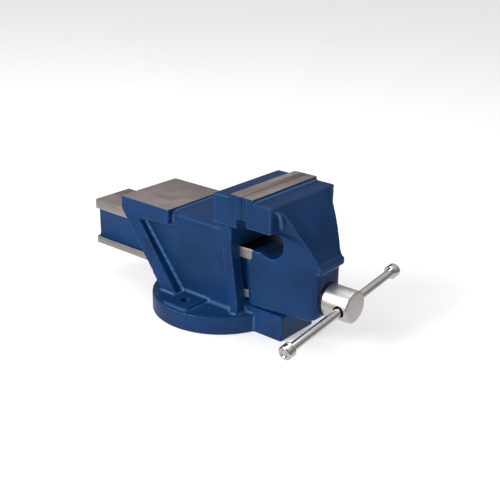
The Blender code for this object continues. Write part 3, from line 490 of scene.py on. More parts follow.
def mark_edges(obj, radius=0.0035):
    """Store on each point how far it stands on an outer edge (above 0.5) or in a corner (below)."""
    mesh = obj.data
    count = len(mesh.vertices)
    points = np.empty(count * 3)
    mesh.vertices.foreach_get("co", points)
    points = points.reshape(-1, 3)
    normals = np.array([normal.vector[:] for normal in mesh.vertex_normals])
    pairs = np.empty(len(mesh.edges) * 2, int)
    mesh.edges.foreach_get("vertices", pairs)
    pairs = pairs.reshape(-1, 2)
    step = points[pairs[:, 1]] - points[pairs[:, 0]]
    length = np.maximum((step ** 2).sum(1), 1e-12)
    bend = np.zeros(count)
    weight = np.zeros(count)
    np.add.at(bend, pairs[:, 0], -(step * normals[pairs[:, 0]]).sum(1) / length)
    np.add.at(bend, pairs[:, 1], (step * normals[pairs[:, 1]]).sum(1) / length)
    np.add.at(weight, pairs.ravel(), 1.0)
    bend = bend / np.maximum(weight, 1.0)
    for _ in range(3):
        total = np.zeros(count)
        np.add.at(total, pairs[:, 0], bend[pairs[:, 1]])
        np.add.at(total, pairs[:, 1], bend[pairs[:, 0]])
        bend = 0.5 * bend + 0.5 * total / np.maximum(weight, 1.0)
    value = np.clip(0.5 + bend * radius, 0.0, 1.0)
    attribute = mesh.attributes.new("edge", "FLOAT", "POINT")
    attribute.data.foreach_set("value", value.astype(np.float32))
    return obj


def seat(obj, body, slot, *nodes):
    """Fix a finished piece to its body and hide the plain parts it stands for."""
    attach(obj, body)
    if nodes:
        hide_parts(*nodes)
    return obj


# ---- materials -------------------------------------------------------------------------------
def add_node(tree, kind, inputs=None, **settings):
    """A shader or geometry node with its settings; inputs are values or sockets to link from."""
    node = tree.nodes.new(kind)
    for key, value in settings.items():
        setattr(node, key, value)
    for key, value in (inputs or {}).items():
        socket = node.inputs[key]
        if isinstance(value, bpy.types.NodeSocket):
            tree.links.new(value, socket)
        else:
            socket.default_value = value
    return node


def new_finish(name, **constants):
    """A material with one Principled shader; constants go on its own sockets."""
    old = bpy.data.materials.get(name)
    if old:
        return old, None, None
    material = bpy.data.materials.new(name)
    material.use_nodes = True
    tree = material.node_tree
    shader = tree.nodes["Principled BSDF"]
    for key, value in constants.items():
        shader.inputs[key.replace("_", " ").title().replace("Ior", "IOR")].default_value = value
    return material, tree, shader


def place_pattern(tree, scale=(1.0, 1.0, 1.0)):
    """Object coordinates, stretched."""
    coordinates = add_node(tree, "ShaderNodeTexCoord")
    mapping = add_node(tree, "ShaderNodeMapping", {
        "Vector": coordinates.outputs["Object"], "Scale": scale})
    return mapping.outputs["Vector"]


def noise(tree, vector, scale, detail=2.0, roughness=0.5):
    """One noise texture's value."""
    node = add_node(tree, "ShaderNodeTexNoise", {
        "Vector": vector, "Scale": scale, "Detail": detail, "Roughness": roughness})
    return node.outputs["Fac"]


def remap(tree, value, low, high, start=0.0, end=1.0):
    """A value stretched from one range to another, held at its ends."""
    node = add_node(tree, "ShaderNodeMapRange", {
        "Value": value, "From Min": low, "From Max": high, "To Min": start, "To Max": end})
    return node.outputs["Result"]


def mix_colour(tree, factor, first, second):
    """Two colours mixed by a value."""
    node = add_node(tree, "ShaderNodeMix", data_type="RGBA")
    for socket, value in zip((node.inputs[0], node.inputs[6], node.inputs[7]), (factor, first, second)):
        if isinstance(value, bpy.types.NodeSocket):
            tree.links.new(value, socket)
        else:
            socket.default_value = value
    return node.outputs[2]


def bump(tree, height, distance, below=None):
    """A bump of a given depth, laid over another one if there is one."""
    inputs = {"Height": height, "Distance": distance, "Strength": 1.0}
    if below is not None:
        inputs["Normal"] = below
    return add_node(tree, "ShaderNodeBump", inputs).outputs["Normal"]


def math_node(tree, operation, *values):
    """One arithmetic step."""
    return add_node(tree, "ShaderNodeMath", dict(enumerate(values)), operation=operation).outputs[0]


def shaded(colour, factor):
    """A colour made lighter or darker, with its alpha."""
    return (*[min(1.0, part * factor) for part in colour], 1.0)


def wear(tree, shader, **sockets):
    """Link a material's patterns to its shader."""
    for key, socket in sockets.items():
        tree.links.new(socket, shader.inputs[key.replace("_", " ").title()])


def enamel():
    """Glossy enamel over sand-cast iron, with painted highlights on its outer edges and in its hollow
    corners.
    """
    paint = bpy.context.scene.vise_paint
    material, tree, shader = new_finish(
        "cast_enamel", metallic=0.0, ior=1.5, specular_ior_level=0.20, coat_weight=0.10, coat_roughness=0.10)
    if tree is None:
        return material
    plain = place_pattern(tree)
    cloud = noise(tree, plain, 16.0, 3.0)
    base = mix_colour(tree, remap(tree, cloud, 0.35, 0.65), shaded(paint.colour, 0.78),
                      shaded(paint.colour, 1.18))
    edge = add_node(tree, "ShaderNodeAttribute", attribute_name="edge").outputs["Fac"]
    # Painted highlight along outer edges, broken up by noise.
    broken = noise(tree, plain, 120.0, 3.0)
    edge_glint = math_node(tree, "MULTIPLY", remap(tree, edge, 0.60, 0.92), remap(tree, broken, 0.3, 0.6))
    lit = mix_colour(tree, edge_glint, base, (*paint.edge_highlight_colour, 1.0))
    # Painted highlight in hollow corners.
    corner_lit = mix_colour(tree, remap(tree, edge, 0.42, 0.20), lit, (*paint.corner_highlight_colour, 1.0))
    smear = noise(tree, plain, 55.0, 4.0)
    roughness = remap(tree, smear, 0.3, 0.7, paint.roughness - 0.06, paint.roughness + 0.08)
    lumps = bump(tree, noise(tree, plain, 190.0, 3.0, 0.55), paint.grain * 2.2)
    pits = add_node(tree, "ShaderNodeTexVoronoi", {"Vector": plain, "Scale": 420.0}, feature="SMOOTH_F1")
    skin = bump(tree, noise(tree, plain, 900.0, 2.0), paint.grain * 0.35, lumps)
    grained = bump(tree, pits.outputs["Distance"], paint.grain * 0.5, skin)
    wear(tree, shader, base_color=corner_lit, roughness=roughness, normal=grained)
    return material


def milled(name, colour, direction, roughness=0.42, depth=0.00002, oiled_from=None):
    """Machined metal with fine parallel cutter lines along one axis, darkened past an X by painted shade if
    an X is given.
    """
    material, tree, shader = new_finish(name, metallic=1.0, anisotropic=0.35)
    if tree is None:
        return material
    along = [1400.0, 1400.0, 1400.0]
    along[direction] = 9.0
    lines = noise(tree, place_pattern(tree, scale=along), 1.0, 3.0, 0.6)
    sweep = [60.0, 60.0, 60.0]
    sweep[direction] = 3.0
    bands = noise(tree, place_pattern(tree, scale=sweep), 1.0, 2.0)
    stain = noise(tree, place_pattern(tree), 38.0, 5.0, 0.6)
    fine = mix_colour(tree, remap(tree, lines, 0.3, 0.7), shaded(colour, 0.84), shaded(colour, 1.16))
    broad = mix_colour(tree, remap(tree, bands, 0.35, 0.65, 0.0, 0.35), fine, shaded(colour, 1.25))
    spotted = mix_colour(tree, remap(tree, stain, 0.55, 0.75, 0.0, 0.30), broad, shaded(colour, 0.55))
    # Painted shade: nearly black past an X, with a ragged edge.
    if oiled_from is not None:
        place = add_node(tree, "ShaderNodeSeparateXYZ", {"Vector": place_pattern(tree)}).outputs["X"]
        ragged = math_node(tree, "MULTIPLY_ADD", stain, SHADE_FRINGE, place)
        painted_shade = remap(tree, ragged, oiled_from, oiled_from + SHADE_FRINGE)
        spotted = mix_colour(tree, painted_shade, spotted, shaded(colour, 0.06))
    wear(tree, shader, base_color=spotted, normal=bump(tree, lines, depth),
         roughness=remap(tree, stain, 0.3, 0.7, roughness - 0.07, roughness + 0.09))
    return material


def lathe_turned(name, colour, roughness, axis_point, tilt=0.0, lines=1500.0, depth=0.000008):
    """Bright steel with fine lines round an axis through a point, the axis being local X."""
    material, tree, shader = new_finish(name, metallic=1.0)
    if tree is None:
        return material
    coordinates = add_node(tree, "ShaderNodeTexCoord").outputs["Object"]
    centred = add_node(tree, "ShaderNodeVectorMath", {0: coordinates, 1: tuple(-p for p in axis_point)},
                       operation="ADD").outputs["Vector"]
    turned = add_node(tree, "ShaderNodeVectorRotate", {"Vector": centred, "Rotation": (-tilt, 0.0, 0.0)},
                      rotation_type="EULER_XYZ").outputs["Vector"]
    parts = add_node(tree, "ShaderNodeSeparateXYZ", {"Vector": turned})
    along, side = ("Y", "X") if tilt else ("X", "Y")
    across = add_node(tree, "ShaderNodeCombineXYZ", {
        "X": parts.outputs[side], "Y": parts.outputs["Z"]}).outputs["Vector"]
    radius = add_node(tree, "ShaderNodeVectorMath", {0: across}, operation="LENGTH").outputs["Value"]
    groove_place = add_node(tree, "ShaderNodeCombineXYZ", {
        "X": parts.outputs[along], "Y": radius}).outputs["Vector"]
    grooves = noise(tree, groove_place, lines, 3.0, 0.65)
    smudge = noise(tree, coordinates, 60.0, 3.0)
    grooved = mix_colour(tree, remap(tree, grooves, 0.3, 0.7), shaded(colour, 0.90), shaded(colour, 1.08))
    handled = mix_colour(tree, remap(tree, smudge, 0.5, 0.8, 0.0, 0.25), grooved, shaded(colour, 0.7))
    wear(tree, shader, base_color=handled, normal=bump(tree, grooves, depth),
         roughness=remap(tree, smudge, 0.3, 0.7, roughness - 0.03, roughness + 0.05))
    return material


def black_oxide_and_bore_shade():
    """Oiled black oxide on small steel parts; in the spindle head's cross hole the same dark colour is
    painted shade.
    """
    material, tree, shader = new_finish("black_oxide", metallic=0.6, coat_weight=0.2, coat_roughness=0.3)
    if tree is None:
        return material
    colour = bpy.context.scene.vise_metal.black
    blotch = noise(tree, place_pattern(tree), 220.0, 4.0)
    tone = mix_colour(tree, remap(tree, blotch, 0.35, 0.7), shaded(colour, 0.8), shaded(colour, 1.9))
    wear(tree, shader, base_color=tone, normal=bump(tree, blotch, 0.00003),
         roughness=remap(tree, blotch, 0.3, 0.7, 0.34, 0.52))
    return material


def grey_iron():
    """Dark bare iron of the nut and the collar; on the toothed jaw faces the same dark colour is painted
    shade for the seam between the plates.
    """
    material, tree, shader = new_finish("bare_iron", metallic=0.8)
    if tree is None:
        return material
    grain = noise(tree, place_pattern(tree), 420.0, 4.0, 0.6)
    tone = mix_colour(tree, remap(tree, grain, 0.3, 0.7), (0.085, 0.083, 0.082, 1.0),
                      (0.180, 0.172, 0.165, 1.0))
    wear(tree, shader, base_color=tone, normal=bump(tree, grain, 0.00012),
         roughness=remap(tree, grain, 0.3, 0.7, 0.48, 0.66))
    return material


def milled_top():
    """The milled tops, with lines along the anvil."""
    return milled("milled_iron", bpy.context.scene.vise_metal.milled, 0)


def shaded_slide_top():
    """The slide's milled top, darkened nearly black by painted shade where it runs out under the jaws."""
    return milled("oiled_iron", bpy.context.scene.vise_metal.milled, 0, oiled_from=SHADE_FROM_X)


def ground_flank():
    """The ground sides of the slide, lighter than the milled tops partly for their ground finish and partly
    as painted light for sides that catch more light.
    """
    return milled("ground_flank", bpy.context.scene.vise_metal.flank, 0, roughness=0.46)


def hardened_steel():
    """The jaw plates, ground along the jaws."""
    return milled("hardened_steel", bpy.context.scene.vise_metal.hardened, 1, roughness=0.40)


def turned_steel():
    """The turned head of the spindle."""
    metal = bpy.context.scene.vise_metal
    return lathe_turned("turned_steel", metal.polished, metal.turned, (0.0, 0.0, SPINDLE_Z))


def handle_steel():
    """The polished handle."""
    metal = bpy.context.scene.vise_metal
    return lathe_turned("handle_steel", metal.polished, metal.polish, (HANDLE_X, 0.0, SPINDLE_Z),
                        tilt=HANDLE_TILT, lines=900.0, depth=0.000003)


def spring_steel():
    """Drawn wire."""
    return milled("drawn_wire", (0.24, 0.24, 0.25), 0, roughness=0.35)


# ---- fixed casting ---------------------------------------------------------------------------
def blend_reach(depth, radius):
    """How far a hollow rounding stands out from a wall, at a depth into the rounding."""
    return radius - math.sqrt(max(0.0, radius ** 2 - (radius - depth) ** 2))


def leg_x(z):
    """Where the sloping rear face is at a height."""
    return LEG_FOOT_X + (ANVIL_REAR_X - LEG_FOOT_X) * (z - BASE_THICKNESS) / (LEG_TOP_Z - BASE_THICKNESS)


def face_x(z):
    """Where the leaning front face is at a height."""
    rise = min(max((z - BASE_THICKNESS) / (FACE_TOP_Z - BASE_THICKNESS), 0.0), 1.0)
    return FACE_FOOT_X + (FACE_TOP_X - FACE_FOOT_X) * rise


def add_strip(bm, x_of_z, depth, heights_and_halves, side):
    """A raised strip on one side of the tower, along a sloping edge."""
    inner = side * (TOWER_HALF - SUNK)
    rings = []
    for z, half in heights_and_halves:
        x = x_of_z(z)
        rings.append([(x, inner, z), (x + depth, inner, z), (x + depth, side * half, z),
                      (x, side * half, z)])
    add_rings(bm, rings)


def add_tower(bm):
    """The middle of the body, its rounded neck and the blend at its foot."""
    foot_z = BASE_THICKNESS - SUNK
    for k in range(6):
        angle = math.pi / 2 * k / 5
        top = NECK_TOP_Z - NECK_ROUND * (1 - math.sin(angle))
        half = TOWER_HALF - NECK_ROUND * (1 - math.cos(angle))
        add_prism_y(bm, [
            (leg_x(foot_z), foot_z),
            (leg_x(LEG_TOP_Z), LEG_TOP_Z),
            (ANVIL_REAR_X + SUNK, top),
            (face_x(top), top),
            (face_x(FACE_TOP_Z), FACE_TOP_Z),
            (face_x(BASE_THICKNESS), BASE_THICKNESS),
            (face_x(BASE_THICKNESS), foot_z)], half)
    for k in range(1, 4):
        depth = FOOT_BLEND * k / 4
        half = TOWER_HALF + blend_reach(depth, FOOT_BLEND)
        add_block(bm, (LEG_FOOT_X, FACE_FOOT_X - RIB_DEPTH), (-half, half), (foot_z, BASE_THICKNESS + depth))


def add_ribs(bm):
    """The diagonal legs under the anvil and the ribs beside the front face, with their blends."""
    foot_z = BASE_THICKNESS - SUNK
    legs = [(foot_z, ANVIL_HALF + LEG_SPREAD), (LEG_TOP_Z - SUNK / 2, ANVIL_HALF)]
    for side in (-1, 1):
        add_strip(bm, leg_x, LEG_WIDTH, legs, side)
        for k in range(1, 7):
            depth = RIB_PROUD * k / 6
            reach = RIB_DEPTH + blend_reach(depth, RIB_BLEND)
            half = TOWER_HALF + depth
            heights = [(foot_z, half + RIB_SPREAD * k / 6), (BASE_THICKNESS + FLARE_HEIGHT, half),
                       (FACE_TOP_Z, half), (REAR_BLOCK_BOTTOM_Z - FLARE_HEIGHT / 3, half)]
            add_strip(bm, lambda z, reach=reach: face_x(z) - reach, reach, heights, side)


def add_anvil(bm):
    """The anvil block, with stock left on top for milling."""
    add_prism_y(bm, [
        (ANVIL_REAR_X, ANVIL_TOP_Z + STOCK),
        (ANVIL_REAR_X, LEG_TOP_Z),
        (leg_x(LEG_TOP_Z - SUNK), LEG_TOP_Z - SUNK),
        (ANVIL_FRONT_X, ANVIL_TOP_Z - ANVIL_FRONT_THICKNESS),
        (ANVIL_FRONT_X, ANVIL_TOP_Z + STOCK)], ANVIL_HALF)


def add_rear_block(bm):
    """The rear jaw's block and the flare below it, with stock on its ridge and its seat."""
    seat_x = REAR_SEAT_X + STOCK
    add_prism_y(bm, [
        (REAR_BLOCK_X, REAR_BLOCK_BOTTOM_Z),
        (seat_x, REAR_BLOCK_BOTTOM_Z),
        (seat_x, JAW_TOP_Z + STOCK),
        (REAR_RIDGE_X, JAW_TOP_Z + STOCK),
        (REAR_RIDGE_X, BLOCK_TOP_Z),
        (REAR_BLOCK_X, BLOCK_TOP_Z)], JAW_HALF)
    steps = 8
    rings = []
    for k in range(steps + 1):
        fall = k / steps
        half = TOWER_HALF + (JAW_HALF - TOWER_HALF) * (1 - fall) ** FLARE_POWER
        z = REAR_BLOCK_BOTTOM_Z + FLARE_SINK - (FLARE_HEIGHT + FLARE_SINK) * fall
        rear = REAR_BLOCK_X + FLARE_LEAN * fall
        rings.append([(rear, -half, z), (FACE_TOP_X, -half, z), (FACE_TOP_X, half, z), (rear, half, z)])
    add_rings(bm, rings)


def add_base(bm):
    """The round foot, its bolt pads and the block in front, with stock underneath."""
    add_lathe(bm, [(-STOCK, BASE_RADIUS), (BASE_THICKNESS, BASE_RADIUS)], 240, upright())
    for side in (-1, 1):
        pad_y = sorted((side * PAD_REACH, side * (TOWER_HALF - SUNK)))
        add_block(bm, PAD_X, pad_y, (0.0, PAD_TOP_Z))
    add_block(bm, (BASE_RADIUS / 2, FOOT_FRONT_X), (-FOOT_HALF, FOOT_HALF), (-STOCK, FOOT_TOP_Z))


def machine_body(body):
    """Mill the anvil, jaw and base, bore the slide's tunnel and cut the holes and pockets."""
    wide = (-BASE_RADIUS - SUNK, BASE_RADIUS + SUNK)
    carve_block(body, (ANVIL_REAR_X - SUNK, ANVIL_FRONT_X + SUNK), wide, (ANVIL_TOP_Z, JAW_TOP_Z), 1)
    carve_block(body, (REAR_RIDGE_X - RIDGE_CUT, JAW_HALF * 2), wide, (JAW_TOP_Z, JAW_TOP_Z + SUNK), 1)
    carve_block(body, (REAR_SEAT_X, FOOT_FRONT_X), wide, (NECK_TOP_Z, JAW_TOP_Z + SUNK))
    carve_block(body, (ANVIL_REAR_X - SUNK, FOOT_FRONT_X + SUNK), wide, (BELOW_Z, 0.0), 1)
    carve_block(body, (ANVIL_REAR_X - SUNK, REAR_SEAT_X), (-TUNNEL_HALF, TUNNEL_HALF), TUNNEL_Z, 2)
    for side in (-1, 1):
        place = upright(BOLT_HOLE_X, side * BOLT_HOLE_Y)
        carve_lathe(body, [(BELOW_Z, BOLT_HOLE_RADIUS), (PAD_TOP_Z + SUNK, BOLT_HOLE_RADIUS)], place)
    for x_range in POCKETS_X:
        carve_block(body, x_range, (-POCKET_HALF, POCKET_HALF), (BELOW_Z, POCKET_TOP_Z))
    rear, front, half = NUT_SLOT
    carve_block(body, (rear, front), (-half, half), (POCKET_TOP_Z - SUNK, TUNNEL_Z[0] + SUNK), 2)
    return body


class VISE_OT_fixed_casting(bpy.types.Operator):
    """Build the fixed casting: base, tower, anvil and rear jaw"""

    bl_idname = "vise.fixed_casting"
    bl_label = "Fixed casting"

    def execute(self, context):
        shape = context.scene.vise_shape
        bm = bmesh.new()
        add_tower(bm)
        add_ribs(bm)
        add_anvil(bm)
        add_rear_block(bm)
        add_base(bm)
        body = make_object("fixed_casting", bm, enamel(), milled_top(), ground_flank())
        relax(remesh(body, shape.grid * BODY_GRID), shape.softness)
        machine_body(body)
        mark_edges(shade(body))
        seat(body, "fixed_body", "blue_enamel", "fixed_jaw_body")
        return {"FINISHED"}


# ---- sliding casting -------------------------------------------------------------------------
def arc(centre, radius, start, end, steps):
    """Points along an arc, angles in degrees."""
    points = []
    for i in range(steps + 1):
        angle = math.radians(start + (end - start) * i / steps)
        points.append((centre[0] + radius * math.cos(angle), centre[1] + radius * math.sin(angle)))
    return points


def lower_half(x):
    """Half the width of the lower body, which tapers to the nose."""
    return LOWER_HALF + (NOSE_HALF - LOWER_HALF) * (x - LOWER_REAR_X) / (NOSE_X - LOWER_REAR_X)


def lower_plan(rear_x, front_x, z, corner=CORNER):
    """The lower body's outline at a height, between a rear and a front face, with rounded corners."""
    right = arc((rear_x + corner, corner - lower_half(rear_x)), corner, 180, 270, 6)
    right += arc((front_x - corner, corner - lower_half(front_x)), corner, 270, 360, 6)
    return [(x, y, z) for x, y in right] + [(x, -y, z) for x, y in reversed(right)]


def add_lower_body(bm):
    """The block round the spindle: its rounded nose, its leaning rear face and the shoulder above it."""
    waist_z = BEAM_TOP_Z - TOP_FLANGE
    foot_x = face_x(LOWER_BOTTOM_Z) + FOOT_CLEARANCE
    lean = (face_x(waist_z) + WAIST_CLEARANCE - foot_x) / (waist_z - LOWER_BOTTOM_Z)
    rings = []
    for x, z in arc((NOSE_X - NOSE_ROUND, LOWER_BOTTOM_Z + NOSE_ROUND), NOSE_ROUND, 270, 360, 8):
        rings.append(lower_plan(foot_x + lean * (z - LOWER_BOTTOM_Z), x, z))
    rings.append(lower_plan(foot_x + lean * (waist_z - LOWER_BOTTOM_Z), NOSE_X, waist_z))
    add_rings(bm, rings)
    add_rings(bm, [lower_plan(LOWER_REAR_X, THROAT[0], z, REAR_CORNER) for z in (waist_z, BEAM_TOP_Z)])
    rings = [lower_plan(THROAT[0] - SUNK, NOSE_X, z) for z in (waist_z - SUNK, LIP_TOP_Z)]
    add_rings(bm, rings + [lower_plan(THROAT[0] - SUNK, SHOULDER[0], SHOULDER[1])])


def hood_point(t):
    """The hood's outer line from the head (t=0) to the lip (t=1), and its half width there."""
    points = ((FRONT_BLOCK_X, BLOCK_TOP_Z), HOOD_BULGE, (NOSE_X, LIP_TOP_Z))
    weights = ((1 - t) ** 2, 2 * t * (1 - t), t * t)
    x, z = (sum(w * p[k] for w, p in zip(weights, points)) for k in (0, 1))
    if t < HOOD_KNEE:
        return x, z, JAW_HALF + (HOOD_KNEE_HALF - JAW_HALF) * t / HOOD_KNEE
    fade = max(0.0, 1 - (t - HOOD_KNEE) / (1 - HOOD_KNEE) / HOOD_FADE)
    return x, z, NOSE_HALF + (HOOD_KNEE_HALF - NOSE_HALF) * fade ** HOOD_FADE_POWER


def gusset_half(z):
    """Half the gusset's width at its fold, a little in front of the head."""
    if z > HEAD_BOTTOM_Z:
        rise = (z - HEAD_BOTTOM_Z) / (BLOCK_TOP_Z - HEAD_BOTTOM_Z)
        return GUSSET_HALF + (JAW_HALF - GUSSET_HALF) * rise ** GUSSET_HIGH_POWER
    low = lower_half(GUSSET_X)
    rise = max(0.0, (z - SHOULDER[1]) / (HEAD_BOTTOM_Z - SHOULDER[1]))
    return low + (GUSSET_HALF - low) * rise ** GUSSET_LOW_POWER


def add_gusset(bm, steps=48):
    """The solid under the bulging hood, between the head, the lower body and the lip."""
    rings = []
    for i in range(steps + 1):
        x, z, half = hood_point(i / steps)
        rear = gusset_half(z)
        right = [(THROAT[0], -max(rear, lower_half(THROAT[0]))), (GUSSET_X, -rear), (x, -half)]
        rings.append([(px, y, z) for px, y in right + [(px, -y) for px, y in reversed(right)]])
    add_rings(bm, rings)


def add_head(bm):
    """The front jaw's block, with stock on its ridge and its seat."""
    seat_x = FRONT_SEAT_X - STOCK
    add_prism_y(bm, [
        (seat_x, HEAD_BOTTOM_Z),
        (FRONT_BLOCK_X, HEAD_BOTTOM_Z),
        (FRONT_BLOCK_X, BLOCK_TOP_Z),
        (FRONT_RIDGE_X, BLOCK_TOP_Z),
        (FRONT_RIDGE_X, JAW_TOP_Z + STOCK),
        (seat_x, JAW_TOP_Z + STOCK)], JAW_HALF)


def add_lip(bm):
    """The rounded bar across the nose."""
    low, high, corner = LIP_TOP_Z - LIP_HEIGHT, LIP_TOP_Z, LIP_CORNER
    outline = [(NOSE_X - SUNK, low)]
    outline += arc((JAW_HIGH.x - corner, low + corner), corner, 270, 360, 6)
    outline += arc((JAW_HIGH.x - corner, high - corner), corner, 0, 90, 6)
    outline.append((NOSE_X - SUNK, high))
    add_prism_y(bm, outline, NOSE_HALF)


def machine_jaw(jaw):
    """Mill the ridge and the seat, and cut the channel and the spindle's bore."""
    wide = (-JAW_HALF - SUNK, JAW_HALF + SUNK)
    carve_block(jaw, (FREE_X, FRONT_RIDGE_X + RIDGE_CUT), wide, (JAW_TOP_Z, JAW_TOP_Z + SUNK), 1)
    carve_block(jaw, (FREE_X, FRONT_SEAT_X), wide, (SEAT_CUT_Z, JAW_TOP_Z + SUNK))
    carve_block(jaw, (FREE_X, FRONT_WALL_X), (-CHANNEL_HALF, CHANNEL_HALF), (0.0, CHANNEL_TOP_Z))
    bore = THREAD_RADIUS + FIT_GAP
    carve_lathe(jaw, [(FRONT_WALL_X - SUNK, bore), (NOSE_X + SUNK, bore)], SPINDLE_PLACE, 2)
    return jaw


class VISE_OT_sliding_casting(bpy.types.Operator):
    """Build the sliding jaw's casting: head, hood, gusset and lower body"""

    bl_idname = "vise.sliding_casting"
    bl_label = "Sliding casting"

    def execute(self, context):
        shape = context.scene.vise_shape
        bm = bmesh.new()
        add_lower_body(bm)
        add_gusset(bm)
        add_head(bm)
        add_lip(bm)
        jaw = make_object("sliding_casting", bm, enamel(), milled_top(), ground_flank())
        remesh(jaw, shape.grid)
        across = Matrix.Translation((THROAT[0], 0.0, THROAT[1])) @ Matrix.Rotation(math.pi / 2, 4, "Z")
        carve_lathe(jaw, [(-JAW_HALF, THROAT_RADIUS), (JAW_HALF, THROAT_RADIUS)], across)
        relax(remesh(jaw, shape.grid), shape.softness)
        machine_jaw(jaw)
        mark_edges(shade(jaw))
        seat(jaw, "sliding_jaw", "blue_enamel", "moving_jaw")
        return {"FINISHED"}


def beam_outline():
    """Half of the slide's section, from the channel's top to the beam's top, with each stretch's finish."""
    web = BEAM_HALF - WEB_RECESS
    low = BEAM_BOTTOM_Z + LOWER_FLANGE
    high = BEAM_TOP_Z - TOP_FLANGE
    points = [(CHANNEL_HALF, CHANNEL_TOP_Z), (CHANNEL_HALF, BEAM_BOTTOM_Z), (BEAM_HALF, BEAM_BOTTOM_Z),
              (BEAM_HALF, low)]
    finishes = [0, 2, 2, 0]
    lower = list(reversed(arc((web + WEB_FILLET, low + WEB_FILLET), WEB_FILLET, 180, 270, 5)))
    upper = list(reversed(arc((web + WEB_FILLET, high - WEB_FILLET), WEB_FILLET, 90, 180, 5)))
    points += lower + upper
    finishes += [0] * (len(lower) + len(upper))
    points += [(BEAM_HALF, high), (BEAM_HALF, BEAM_TOP_Z)]
    finishes += [2, 1]
    return points, finishes


class VISE_OT_slide(bpy.types.Operator):
    """Build the slide: the machined beam behind the sliding jaw"""

    bl_idname = "vise.slide"
    bl_label = "Slide beam"

    def execute(self, context):
        points, finishes = beam_outline()
        outline = points + [(-y, z) for y, z in reversed(points)]
        around = finishes + list(reversed(finishes[:-1])) + [0]
        bm = bmesh.new()
        ends = (JAW_LOW.x, LOWER_REAR_X + REAR_CORNER)
        rows = add_rings(bm, [[(x, y, z) for y, z in outline] for x in ends])
        for vert, after, finish in zip(rows[0], rows[0][1:] + rows[0][:1], around):
            for face in set(vert.link_faces) & set(after.link_faces):
                face.material_index = finish if len(face.verts) == 4 else 2
        slide = make_object("slide_beam", bm, enamel(), shaded_slide_top(), ground_flank())
        bevel(slide, SLIDE_EDGE)
        mark_edges(shade(slide), 0.0)
        seat(slide, "sliding_jaw", "ground_steel")
        return {"FINISHED"}


# ---- geometry node trees ---------------------------------------------------------------------
def new_tree(name, sockets):
    """A geometry node tree with named inputs and one geometry output."""
    tree = bpy.data.node_groups.new(name, "GeometryNodeTree")
    for label, kind, default in sockets:
        socket = tree.interface.new_socket(name=label, in_out="INPUT", socket_type=kind)
        if default is not None:
            socket.default_value = default
    tree.interface.new_socket(name="Geometry", in_out="OUTPUT", socket_type="NodeSocketGeometry")
    return tree, tree.nodes.new("NodeGroupInput").outputs, tree.nodes.new("NodeGroupOutput")


def close_tree(tree, geometry, material, output):
    """End a tree: realize the copies and give them their material."""
    real = add_node(tree, "GeometryNodeRealizeInstances", {"Geometry": geometry})
    coated = add_node(tree, "GeometryNodeSetMaterial", {
        "Geometry": real.outputs["Geometry"], "Material": material})
    tree.links.new(coated.outputs["Geometry"], output.inputs["Geometry"])


def grow(name, tree, **values):
    """Run a tree with its inputs set, and keep the result as a plain mesh object."""
    obj = bpy.data.objects.new(name, bpy.data.meshes.new(name))
    bpy.context.scene.collection.objects.link(obj)
    modifier = obj.modifiers.new("Grow", "NODES")
    modifier.node_group = tree
    for item in tree.interface.items_tree:
        if item.in_out == "INPUT":
            modifier[item.identifier] = values[item.name.replace(" ", "_").lower()]
    settle(obj)
    if not obj.data.polygons:
        raise RuntimeError(f"{name} grew no faces")
    return obj


def teeth_tree():
    """Small pyramids in staggered rows over a rectangle in the YZ plane, with two round gaps for screws."""
    tree, given, output = new_tree("Jaw plate teeth", [
        ("Width", "NodeSocketFloat", 0.12), ("Height", "NodeSocketFloat", 0.024),
        ("Pitch", "NodeSocketFloat", 0.002), ("Tooth", "NodeSocketFloat", 0.0004),
        ("Screw Spacing", "NodeSocketFloat", 0.07), ("Screw Gap", "NodeSocketFloat", 0.0075),
        ("Steel", "NodeSocketMaterial", None)])
    tooth = add_node(tree, "GeometryNodeMeshCone", {
        "Vertices": 4, "Radius Bottom": math_node(tree, "MULTIPLY", given["Pitch"], 0.68),
        "Radius Top": 0.0, "Depth": math_node(tree, "MULTIPLY", given["Tooth"], 2.0)})
    rows = []
    for shift in (0.0, 0.5):
        inset = math_node(tree, "MULTIPLY", given["Pitch"], 1.0 + shift)
        width = math_node(tree, "SUBTRACT", given["Width"], inset)
        height = math_node(tree, "SUBTRACT", given["Height"], inset)
        grid = add_node(tree, "GeometryNodeMeshGrid", {
            "Size X": height, "Size Y": width,
            "Vertices X": math_node(tree, "DIVIDE", height, given["Pitch"]),
            "Vertices Y": math_node(tree, "DIVIDE", width, given["Pitch"])})
        rows.append(grid.outputs["Mesh"])
    joined = add_node(tree, "GeometryNodeJoinGeometry")
    for row in rows:
        tree.links.new(row, joined.inputs["Geometry"])
    position = add_node(tree, "GeometryNodeInputPosition").outputs["Position"]
    place = add_node(tree, "ShaderNodeSeparateXYZ", {"Vector": position})
    aside = math_node(tree, "ABSOLUTE", place.outputs["Y"])
    offset = math_node(tree, "SUBTRACT", aside, math_node(tree, "MULTIPLY", given["Screw Spacing"], 0.5))
    square = math_node(tree, "ADD", math_node(tree, "MULTIPLY", offset, offset),
                       math_node(tree, "MULTIPLY", place.outputs["X"], place.outputs["X"]))
    limit = math_node(tree, "MULTIPLY", given["Screw Gap"], given["Screw Gap"])
    gap = add_node(tree, "FunctionNodeCompare", {0: square, 1: limit}, data_type="FLOAT",
                   operation="LESS_THAN")
    kept = add_node(tree, "GeometryNodeDeleteGeometry", {
        "Geometry": joined.outputs["Geometry"], "Selection": gap.outputs["Result"]}, domain="POINT")
    copies = add_node(tree, "GeometryNodeInstanceOnPoints", {
        "Points": kept.outputs["Geometry"], "Instance": tooth.outputs["Mesh"]})
    close_tree(tree, copies.outputs["Instances"], given["Steel"], output)
    return tree


